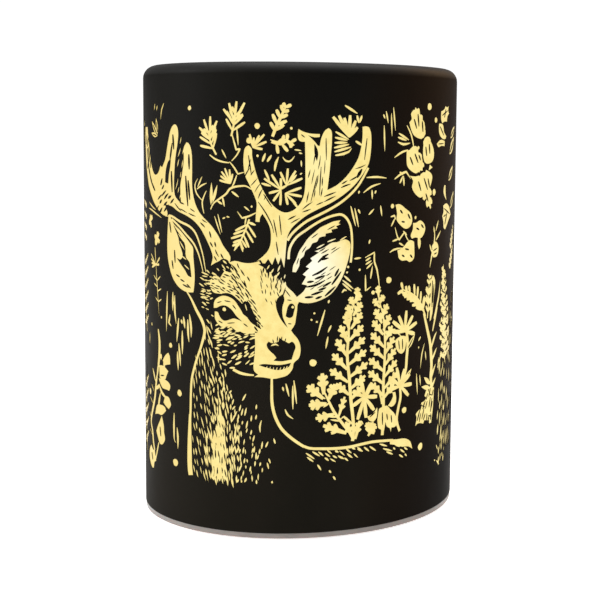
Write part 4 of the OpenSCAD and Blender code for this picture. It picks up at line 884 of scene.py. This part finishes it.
def cut_wall():
    """Triangles of the unrolled wall that stay black, as (vertices, triangles)."""
    low, high = WALL_LOW / MM, WALL_HIGH / MM
    laid = outlines_on_wall()
    verts = [(SEAM_U + ROUND * k / COLUMNS, z) for k in range(COLUMNS + 1) for z in (low, high)]
    edges = [(2 * k, 2 * k + 1) for k in range(COLUMNS + 1)]
    edges += [(2 * k + side, 2 * k + 2 + side) for k in range(COLUMNS) for side in (0, 1)]
    for _, outline in laid:
        first = len(verts)
        verts += outline
        edges += [(first + k, first + (k + 1) % len(outline)) for k in range(len(outline))]
    made = delaunay_2d_cdt([Vector(v) for v in verts], edges, [], 0, MERGE, False)
    flat = np.array([(v.x, v.y) for v in made[0]])
    tris = np.array([f[:3] for f in made[2]])
    centre = flat[tris].mean(axis=1)
    tone = np.zeros(len(tris), int)
    order = np.argsort(centre[:, 0])
    sorted_u = centre[order, 0]
    for colour, outline in laid:
        us, zs = [p[0] for p in outline], [p[1] for p in outline]
        near = order[np.searchsorted(sorted_u, min(us)):np.searchsorted(sorted_u, max(us))]
        near = near[(centre[near, 1] > min(zs)) & (centre[near, 1] < max(zs))]
        tone[near[winding(centre[near, 0], centre[near, 1], outline)]] = colour
    keep = (tone == BLACK) & (centre[:, 1] > low) & (centre[:, 1] < high)
    keep &= (centre[:, 0] > SEAM_U) & (centre[:, 0] < SEAM_U + ROUND)
    return flat, tris[keep]


def closed_wall():
    """The same, with every triangle facing out and the seam welded, and only the vertices in use."""
    flat, tris = cut_wall()
    a, b, c = (flat[tris[:, k]] for k in range(3))
    turned = (b[:, 0] - a[:, 0]) * (c[:, 1] - a[:, 1]) - (b[:, 1] - a[:, 1]) * (c[:, 0] - a[:, 0]) < 0
    tris[turned] = tris[turned][:, ::-1]
    # a vertex on the right edge becomes its twin on the left edge
    alias = np.arange(len(flat))
    right = np.nonzero(np.abs(flat[:, 0] - SEAM_U - ROUND) < ON_EDGE)[0]
    left = np.nonzero(np.abs(flat[:, 0] - SEAM_U) < ON_EDGE)[0]
    for i in right:
        alias[i] = left[np.argmin(np.abs(flat[left, 1] - flat[i, 1]))]
    tris = alias[tris]
    used = np.unique(tris)
    renumber = np.full(len(flat), -1)
    renumber[used] = np.arange(len(used))
    return flat[used], renumber[tris].tolist()


def add_dome(verts, faces, top_row, first, sunk):
    """Shoulder and crown from the wall's top edge up. The inner ones are sunk and face in."""
    step = 1 if sunk == 0 else -1
    round_r, half = SHOULDER - sunk, HALF_W - sunk
    rings = [(HALF_W - SHOULDER + round_r * math.cos(p), WALL_HIGH + round_r * math.sin(p))
             for p in (math.pi / 2 * k / SHOULDER_STEPS for k in range(1, SHOULDER_STEPS + 1))]
    edge_r = rings[-1][0]
    rings += [(edge_r * s, coat_high.z - sunk - CROWN * s * s)
              for s in (1 - k / CROWN_STEPS for k in range(1, CROWN_STEPS))]
    previous = [first + int(i) for i in top_row]
    base = [verts[i] for i in previous]
    for radius, z in rings:
        ring = list(range(len(verts), len(verts) + len(base)))
        verts += [(x * radius / half, y * radius / half, z) for x, y, _ in base]
        for k in range(len(ring)):
            m = (k + 1) % len(ring)
            faces.append((previous[k], previous[m], ring[m], ring[k])[::step])
        previous = ring
    middle = len(verts)
    verts.append((0.0, 0.0, coat_high.z - sunk))
    for k in range(len(previous)):
        faces.append((previous[k], previous[(k + 1) % len(previous)], middle)[::step])


def coat_mesh():
    """The whole skin: wall outside and inside, the cut sides of the openings, and the domed top."""
    flat, tris = closed_wall()
    count = len(flat)
    verts = list(map(tuple, on_wall(flat[:, 0], flat[:, 1])))
    verts += list(map(tuple, on_wall(flat[:, 0], flat[:, 1], SKIN_T)))
    faces = [tuple(t) for t in tris] + [(t[2] + count, t[1] + count, t[0] + count) for t in tris]
    # cut sides stand on every edge that has one triangle, but not on the top edge, where the dome goes on
    owned = dict.fromkeys((t[k], t[(k + 1) % 3]) for t in tris for k in range(3))
    top = WALL_HIGH / MM - ON_EDGE
    cuts = [(i, j) for i, j in owned if (j, i) not in owned and not (flat[i, 1] > top and flat[j, 1] > top)]
    first_cut = len(faces)
    faces += [(j, i, i + count, j + count) for i, j in cuts]
    top_row = sorted(np.nonzero(flat[:, 1] > top)[0], key=lambda i: flat[i, 0])
    add_dome(verts, faces, top_row, 0, 0.0)
    add_dome(verts, faces, top_row, count, SKIN_T)
    mesh = bpy.data.meshes.new("decorated_coating")
    mesh.from_pydata(verts, [], faces)
    smooth = [not first_cut <= k < first_cut + len(cuts) for k in range(len(faces))]
    mesh.polygons.foreach_set("use_smooth", smooth)
    rims = {tuple(sorted((i + s, j + s))) for i, j in cuts for s in (0, count)}
    sharp = mesh.attributes.new("sharp_edge", "BOOLEAN", "EDGE")
    sharp.data.foreach_set("value", [tuple(sorted(e.vertices)) in rims for e in mesh.edges])
    mesh.validate()
    mesh.update()
    return mesh


# --- materials -------------------------------------------------------------------------------------

def rgb(r, g, b):
    """A colour given as it looks on a screen, from 0 to 255, as Blender's linear values."""
    screen = (v / 255 for v in (r, g, b))
    return (*(v / 12.92 if v <= 0.04045 else ((v + 0.055) / 1.055) ** 2.4 for v in screen), 1.0)


def grey(level):
    """A linear grey."""
    return level, level, level, 1.0


class Surface:
    """A node material built up from one Principled shader."""

    def __init__(self, name, roughness, metallic=0.0, **sockets):
        self.material = bpy.data.materials.new(name)
        self.material.use_nodes = True
        self.nodes, self.links = self.material.node_tree.nodes, self.material.node_tree.links
        self.shader = self.nodes["Principled BSDF"]
        self.shader.inputs["Roughness"].default_value = roughness
        self.shader.inputs["Metallic"].default_value = metallic
        for socket, value in sockets.items():
            self.shader.inputs[socket.replace("_", " ")].default_value = value
        self.place = self.nodes.new("ShaderNodeTexCoord").outputs["Object"]
        self.height = None

    def link(self, source, target):
        self.links.new(source, target)

    def stretched(self, stretch):
        """Object coordinates scaled axis by axis, for grain that runs one way."""
        mapping = self.nodes.new("ShaderNodeMapping")
        mapping.inputs["Scale"].default_value = stretch
        self.link(self.place, mapping.inputs["Vector"])
        return mapping.outputs["Vector"]

    def axes(self):
        """The object's own X, Y and Z in metres."""
        node = self.nodes.new("ShaderNodeSeparateXYZ")
        self.link(self.place, node.inputs["Vector"])
        return node.outputs

    def noise(self, size, detail, rough=0.5, stretch=None):
        """Noise whose blotches are about size metres across."""
        node = self.nodes.new("ShaderNodeTexNoise")
        node.inputs["Scale"].default_value = 1 / size
        node.inputs["Detail"].default_value = detail
        node.inputs["Roughness"].default_value = rough
        self.link(self.stretched(stretch) if stretch else self.place, node.inputs["Vector"])
        return node.outputs["Fac"]

    def ramp(self, source, *stops):
        """Colours by a value from 0 to 1, each stop a place and a colour."""
        node = self.nodes.new("ShaderNodeValToRGB")
        elements = node.color_ramp.elements
        while len(elements) < len(stops):
            elements.new(0.5)
        for element, (position, colour) in zip(elements, stops):
            element.position = position
            element.color = colour
        self.link(source, node.inputs["Fac"])
        return node.outputs["Color"]

    def span(self, source, low, high, from_low=0.3, from_high=0.7):
        """A value between from_low and from_high, spread out between low and high."""
        node = self.nodes.new("ShaderNodeMapRange")
        for socket, value in (("From Min", from_low), ("From Max", from_high),
                              ("To Min", low), ("To Max", high)):
            node.inputs[socket].default_value = value
        self.link(source, node.inputs["Value"])
        return node.outputs["Result"]

    def feed(self, socket, value):
        """Sets a socket to a number or a colour, or links it to another node's output."""
        if isinstance(value, (int, float, tuple)):
            socket.default_value = value
        else:
            self.link(value, socket)

    def maths(self, operation, *values):
        node = self.nodes.new("ShaderNodeMath")
        node.operation = operation
        for socket, value in zip(node.inputs, values):
            self.feed(socket, value)
        return node.outputs["Value"]

    def mix(self, share, a, b):
        """Colour a turning into colour b as share goes from 0 to 1."""
        node = self.nodes.new("ShaderNodeMix")
        node.data_type = "RGBA"
        factor, first, second, result = node.inputs[0], node.inputs[6], node.inputs[7], node.outputs[2]
        for socket, value in ((factor, share), (first, a), (second, b)):
            self.feed(socket, value)
        return result

    def blend(self, share, first, second):
        """Shader output first turning into second as share goes from 0 to 1."""
        node = self.nodes.new("ShaderNodeMixShader")
        for socket, value in zip(node.inputs, (share, first, second)):
            self.link(value, socket)
        return node.outputs["Shader"]

    def plain_shader(self, sockets):
        """A second Principled shader, set by socket names and values."""
        node = self.nodes.new("ShaderNodeBsdfPrincipled")
        for socket, value in sockets.items():
            node.inputs[socket].default_value = value
        return node.outputs["BSDF"]

    def colour(self, source):
        self.link(source, self.shader.inputs["Base Color"])

    def rough(self, source):
        self.link(source, self.shader.inputs["Roughness"])

    def bump(self, source, depth):
        """Relief of that depth in metres, on top of any relief that is already there."""
        node = self.nodes.new("ShaderNodeBump")
        node.inputs["Distance"].default_value = depth
        self.link(source, node.inputs["Height"])
        if self.height:
            self.link(self.height, node.inputs["Normal"])
        self.height = node.outputs["Normal"]
        self.link(self.height, self.shader.inputs["Normal"])

    def distance(self, point):
        """How far every place of the object is from a point, in metres."""
        node = self.nodes.new("ShaderNodeVectorMath")
        node.operation = "DISTANCE"
        node.inputs[1].default_value = point
        self.link(self.place, node.inputs[0])
        return node.outputs["Value"]


def moulded(name, dark, light, roughness, **sockets):
    """Moulded plastic: a fine spark-eroded grain, faint flow marks and handling shine."""
    s = Surface(name, roughness, **sockets)
    s.colour(s.ramp(s.noise(0.012, 4), (0.3, dark), (0.72, light)))
    s.rough(s.span(s.noise(0.02, 3), roughness - 0.07, roughness + 0.07))
    s.bump(s.noise(0.0006, 2), 0.00006)
    s.bump(s.noise(0.03, 2), 0.0004)
    return s.material


def plated(name, dark, light, roughness, drawn=(1, 1, 12)):
    """Plated or drawn metal: fine lines one way, slight tarnish in blotches."""
    s = Surface(name, roughness, 1.0)
    s.colour(s.ramp(s.noise(0.004, 5), (0.3, dark), (0.7, light)))
    lines = s.noise(0.002, 2, stretch=drawn)
    s.rough(s.span(lines, roughness - 0.08, roughness + 0.14))
    s.bump(lines, 0.00003)
    return s.material


def rubber(name):
    s = Surface(name, 0.75, Specular_IOR_Level=0.35)
    s.colour(s.ramp(s.noise(0.005, 4), (0.3, rgb(26, 26, 27)), (0.75, rgb(44, 43, 42))))
    s.rough(s.span(s.noise(0.003, 3), 0.68, 0.86))
    s.bump(s.noise(0.0004, 2), 0.00005)
    return s.material


def black_lacquer():
    """Matt black spray coat, fine dry grain, glossier on the shoulder; painted shade higher up and low on
    the right, and a painted warm reflection browning the right.
    """
    s = Surface("matt_black_lacquer", 0.58)
    cloud = s.noise(0.035, 3, stretch=(1, 1, 0.6))
    x, _, z = s.axes()
    # painted shade: the coat is made darker higher up
    high = s.span(z, 0.0, 1.0, 0.04, 0.2)
    # painted warm reflection: the coat turns browner on the right
    right = s.span(x, 0.0, 1.0, 0.0, 0.06)
    # painted shade: darker still low down on the right
    painted_shade_low_right = s.maths("MULTIPLY", right, s.span(z, 1.0, 0.0, 0.03, 0.09))
    body = s.ramp(cloud, (0.3, rgb(19, 17, 12)), (0.7, rgb(24, 21, 16)))
    # the painted shade and the painted warm reflection are mixed into the coat's colour here
    body = s.mix(high, body, s.ramp(cloud, (0.3, rgb(13, 12, 10)), (0.7, rgb(17, 16, 13))))
    body = s.mix(right, body, rgb(24, 12, 2))
    s.colour(s.mix(painted_shade_low_right, body, rgb(6, 4, 2)))
    s.link(s.span(z, 0.025, 0.3, 0.2135, 0.2175), s.shader.inputs["Specular IOR Level"])
    s.rough(s.span(cloud, 0.5, 0.6))
    s.bump(s.noise(0.0005, 2), 0.000012)
    s.bump(s.noise(0.022, 2), 0.00025)
    return s.material


def bare_outside(s):
    """1 on the frosted outside of the glass, 0 on its clear inside and low down, by its cut edges."""
    x, y, z = s.axes()
    # distance from the axis, with the oval pressed into a circle
    pressed = s.maths("DIVIDE", y, HALF_D / HALF_W)
    square = s.maths("ADD", s.maths("MULTIPLY", x, x), s.maths("MULTIPLY", pressed, pressed))
    reach = s.maths("SQRT", square)
    wall = s.maths("GREATER_THAN", reach, glass_high.x - GLASS_WALL / 2)
    # half way from the lowest place on top of the roof to the highest place under it
    roof = s.maths("GREATER_THAN", z, glass_high.z - (CROWN + GLASS_WALL) / 2)
    return s.maths("MINIMUM", s.maths("MAXIMUM", wall, roof), s.maths("GREATER_THAN", z, ABOVE_NOTCH))


def warm_glow(s):
    """Painted glow of the frosted glass, mottled, with painted shade dimming it at the sides, a painted hot
    spot where the bulb stands behind the ear and a painted glint above it.
    """
    x = s.axes()[0]
    # painted glow: this colour stands in for the bulb's light coming through the frosting
    body = s.ramp(s.noise(0.004, 5, 0.7), (0.25, rgb(236, 210, 124)), (0.75, rgb(254, 237, 156)))
    # painted shade: dimmer towards the right side
    body = s.mix(s.span(x, 0.0, 1.0, 0.045, glass_high.x), body, rgb(238, 214, 142))
    # painted shade: dimmer towards the left side
    body = s.mix(s.span(x, 1.0, 0.0, -glass_high.x, -0.055), body, rgb(234, 209, 122))
    # painted hot spot round the place where the bulb shows through behind the ear
    from_bulb = s.distance(tuple(on_wall(-18.5, 127.0, COAT_T)))
    painted_hot_spot = s.ramp(from_bulb, (0.003, grey(1)), (0.008, grey(0.55)), (0.02, grey(0)))
    body = s.mix(painted_hot_spot, body, rgb(255, 254, 232))
    # painted glint higher up on the wall
    glint = s.ramp(s.distance(tuple(on_wall(-17.0, 172.0, COAT_T))), (0.0, grey(0.6)), (0.016, grey(0)))
    return s.mix(glint, body, rgb(252, 242, 176))


def lit_glass():
    """The shade: frosted and glowing where the drawing lays its outside bare, clear on the inside."""
    s = Surface("lit_frosted_glass", 0.42, Specular_IOR_Level=0.2, Emission_Strength=1.0)
    body = warm_glow(s)
    s.colour(s.mix(0.97, body, rgb(40, 34, 24)))
    # painted glow: the glass gives off the bulb's light as its own emission
    s.link(body, s.shader.inputs["Emission Color"])
    s.bump(s.noise(0.0008, 2), 0.00002)
    clear = s.plain_shader({"Base Color": rgb(250, 246, 236), "Roughness": 0.04, "IOR": 1.5,
                            "Transmission Weight": 1.0})
    gloss = s.plain_shader({"Base Color": rgb(140, 124, 100), "Roughness": 0.4})
    facing = s.nodes.new("ShaderNodeLayerWeight")
    facing.inputs["Blend"].default_value = 0.28
    slant = s.span(facing.outputs["Facing"], 0.0, 0.85, 0.45, 1.0)
    glow = s.blend(slant, s.shader.outputs["BSDF"], gloss)
    s.link(s.blend(bare_outside(s), clear, glow), s.nodes["Material Output"].inputs["Surface"])
    return s.material


def clear_glass(name, tint):
    s = Surface(name, 0.02, IOR=1.46, Transmission_Weight=1.0)
    s.colour(s.ramp(s.noise(0.02, 2), (0.3, tint), (0.7, rgb(252, 252, 250))))
    s.bump(s.noise(0.012, 2), 0.00002)
    return s.material


def filament_glow():
    """Phosphor rods, brighter in the middle of each chip than between chips."""
    s = Surface("filament_phosphor", 0.6, Emission_Strength=9.0)
    pitch = 1.2 * MM
    chips = s.maths("SINE", s.maths("MULTIPLY", s.axes()[2], 2 * math.pi / pitch))
    s.colour(s.ramp(s.noise(0.001, 2), (0.3, rgb(240, 190, 70)), (0.7, rgb(250, 215, 110))))
    s.link(s.ramp(s.span(chips, 0.0, 1.0, -1.0, 1.0), (0.0, rgb(255, 186, 92)), (1.0, rgb(255, 226, 160))),
           s.shader.inputs["Emission Color"])
    return s.material


def circuit_board():
    s = Surface("circuit_board", 0.35, Coat_Weight=0.4)
    brick = s.nodes.new("ShaderNodeTexBrick")
    brick.inputs["Scale"].default_value = 420
    brick.inputs["Color1"].default_value = rgb(22, 84, 44)
    brick.inputs["Color2"].default_value = rgb(28, 98, 52)
    brick.inputs["Mortar"].default_value = rgb(170, 140, 70)
    s.link(s.place, brick.inputs["Vector"])
    s.colour(brick.outputs["Color"])
    s.bump(brick.outputs["Fac"], 0.00004)
    return s.material


def speckled_ceramic():
    s = Surface("steatite", 0.6, Specular_IOR_Level=0.4)
    s.colour(s.ramp(s.noise(0.0007, 6, 0.75), (0.3, rgb(196, 187, 168)), (0.55, rgb(228, 221, 204))))
    s.rough(s.span(s.noise(0.002, 3), 0.5, 0.72))
    s.bump(s.noise(0.0005, 3), 0.00004)
    return s.material


def lead_insulation(name, dark, light):
    s = Surface(name, 0.38, Coat_Weight=0.2)
    s.colour(s.ramp(s.noise(0.003, 4), (0.3, dark), (0.7, light)))
    s.rough(s.span(s.noise(0.002, 3), 0.32, 0.46))
    s.bump(s.noise(0.0015, 3), 0.00005)
    return s.material


def plinth_plastic():
    """Slightly pink, milky plastic that lets a little light through."""
    s = Surface("milky_plastic", 0.36, Subsurface_Weight=0.25, Subsurface_Scale=0.004, Coat_Weight=0.15)
    s.colour(s.ramp(s.noise(0.01, 4), (0.3, rgb(115, 108, 102)), (0.7, rgb(126, 119, 113))))
    s.rough(s.span(s.noise(0.008, 3), 0.3, 0.45))
    s.bump(s.noise(0.0007, 2), 0.00004)
    return s.material


def dress(material, *names):
    """Gives CAD nodes a material in place of the CAD colour."""
    for name in names:
        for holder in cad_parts[name].material_slots:
            holder.material = material


def dress_frame():
    steel = plated("zinc_plate", rgb(150, 150, 146), rgb(196, 196, 190), 0.34)
    brass = plated("drawn_brass", rgb(176, 132, 62), rgb(214, 172, 96), 0.3)
    nickel = plated("nickel_plate", rgb(182, 178, 170), rgb(214, 211, 204), 0.2, drawn=(1, 1, 4))
    black = moulded("black_moulding", rgb(34, 34, 34), rgb(48, 47, 46), 0.55)
    ivory = moulded("white_thermoset", rgb(224, 219, 206), rgb(236, 232, 221), 0.42, Subsurface_Weight=0.05)
    rubbers = rubber("moulded_rubber")
    glass = clear_glass("bulb_glass", rgb(240, 243, 240))
    dress(lit_glass(), "glass_shade")
    dress(plinth_plastic(), "plinth")
    dress(black, "bottom_cover", "pillar")
    dress(steel, "cover_screws", "terminal_screws", "terminal_block_fixing", "threaded_tube", "tube_nuts",
          "lock_washer", "holder_terminal_screws", "bulb_filament_wires")
    dress(rubbers, "foot_front_left", "foot_front_right", "foot_rear_left", "foot_rear_right",
          "cable_grommet")
    dress(moulded("natural_nylon", rgb(206, 202, 184), rgb(226, 222, 206), 0.45, Subsurface_Weight=0.15,
                  Subsurface_Scale=0.002), "terminal_block")
    dress(brass, "terminal_barrels", "holder_screw_shell", "holder_centre_contact", "holder_side_contact")
    dress(lead_insulation("brown_insulation", rgb(84, 46, 28), rgb(104, 60, 38)), "live_lead")
    dress(lead_insulation("blue_insulation", rgb(28, 66, 140), rgb(42, 88, 170)), "neutral_lead")
    dress(ivory, "holder_cap", "holder_sleeve")
    dress(speckled_ceramic(), "holder_core")
    dress(plated("solder", rgb(150, 150, 150), rgb(190, 190, 188), 0.28, drawn=(1, 1, 1)), "bulb_contact")
    dress(nickel, "bulb_cap", "bulb_collar")
    dress(moulded("black_vitrite", rgb(12, 12, 16), rgb(22, 22, 28), 0.12), "bulb_insulator")
    dress(glass, "bulb_envelope", "bulb_stem")
    dress(filament_glow(), "bulb_filaments")
    dress(circuit_board(), "bulb_driver_board")


# --- camera, light and floor -------------------------------------------------------------------------

def make_camera():
    """Stands where the lamp is seen from, a little left of its front and just below its top."""
    turn, back, rise = 0.3489, 7.526, 2.3777     # angle round the lamp, distance and height in half widths
    yaw, pitch, roll = 0.0241, -0.0956, 0.0078
    sensor, lens = 36, 70.9998                   # millimetres
    position = Vector((-back * math.sin(turn), -back * math.cos(turn), rise)) * HALF_W
    position.z += 1 * MM
    heading = yaw + turn
    level = math.cos(pitch)
    ahead = Vector((math.sin(heading) * level, math.cos(heading) * level, math.sin(pitch)))
    right = Vector((math.cos(heading), -math.sin(heading), 0))
    up = right.cross(ahead)
    right, up = right * math.cos(roll) + up * math.sin(roll), up * math.cos(roll) - right * math.sin(roll)
    data = bpy.data.cameras.new("camera")
    data.sensor_width, data.lens = sensor, lens
    data.shift_x, data.shift_y = -0.05, -0.1
    data.clip_start, data.clip_end = 0.02, 50
    camera = bpy.data.objects.new("camera", data)
    axes = Matrix((right, up, -ahead)).transposed()
    camera.matrix_world = Matrix.Translation(position) @ axes.to_4x4()
    bpy.context.scene.collection.objects.link(camera)
    bpy.context.scene.camera = camera


def softbox(name, place, aim, size, watts, colour=(1, 1, 1)):
    """A rectangular light at a place, turned towards its aim."""
    data = bpy.data.lights.new(name, "AREA")
    data.shape = "RECTANGLE"
    data.size, data.size_y = size
    data.energy = watts
    data.color = colour
    lamp = bpy.data.objects.new(name, data)
    lamp.location = place
    lamp.rotation_euler = (Vector(aim) - Vector(place)).to_track_quat("-Z", "Y").to_euler()
    bpy.context.scene.collection.objects.link(lamp)


def make_floor():
    side = 30.0
    mesh = bpy.data.meshes.new("floor")
    corners = [(-side, -side, 0), (side, -side, 0), (side, side, 0), (-side, side, 0)]
    mesh.from_pydata(corners, [], [(0, 1, 2, 3)])
    floor = bpy.data.objects.new("floor", mesh)
    bpy.context.scene.collection.objects.link(floor)
    s = Surface("pale_floor", 0.7, Specular_IOR_Level=0.2, Emission_Strength=0.73)
    s.shader.inputs["Emission Color"].default_value = grey(1)
    s.colour(s.ramp(s.noise(0.4, 2), (0.3, grey(0.9)), (0.7, grey(0.93))))
    mesh.materials.append(s.material)


def make_studio():
    """White all round, brighter to the camera than to the lamp, with three lights."""
    world = bpy.data.worlds.new("studio")
    world.use_nodes = True
    nodes, links = world.node_tree.nodes, world.node_tree.links
    background = nodes["Background"]
    background.inputs["Color"].default_value = grey(1)
    ray = nodes.new("ShaderNodeLightPath")
    level = nodes.new("ShaderNodeMapRange")
    level.inputs["To Min"].default_value = 0.37
    level.inputs["To Max"].default_value = 1.05
    links.new(ray.outputs["Is Camera Ray"], level.inputs["Value"])
    links.new(level.outputs["Result"], background.inputs["Strength"])
    bpy.context.scene.world = world
    softbox("key_left", (-1.7, 0.15, 0.5), (0, 0, 0.11), (0.7, 1.2), 28)
    softbox("top", (0.2, -0.1, 1.9), (0, 0, 0), (2.2, 2.2), 34)
    softbox("warm_right", (1.1, 0.2, 0.75), (0, 0, 0.16), (0.4, 0.7), 3.0, (1.0, 0.6, 0.25))
    bpy.context.scene.view_settings.view_transform = "Standard"


# --- putting it together -----------------------------------------------------------------------------

make_camera()
for draw in (left_ear_and_antler, right_antler, right_ear, head, neck_and_back, fir_sprigs, top_left_marks,
             loose_dots, rain_strokes, tall_ferns, meadow_flowers, meadow_left, fan_flower, tall_spire,
             berries, right_margin, left_plant, edge_of_front, back_of_shade):
    draw()
coat = bpy.data.objects.new("decorated_coating", coat_mesh())
coat.data.materials.append(black_lacquer())
bpy.context.scene.collection.objects.link(coat)
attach(coat, "shade")
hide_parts("black_coating")
dress_frame()
make_floor()
make_studio()
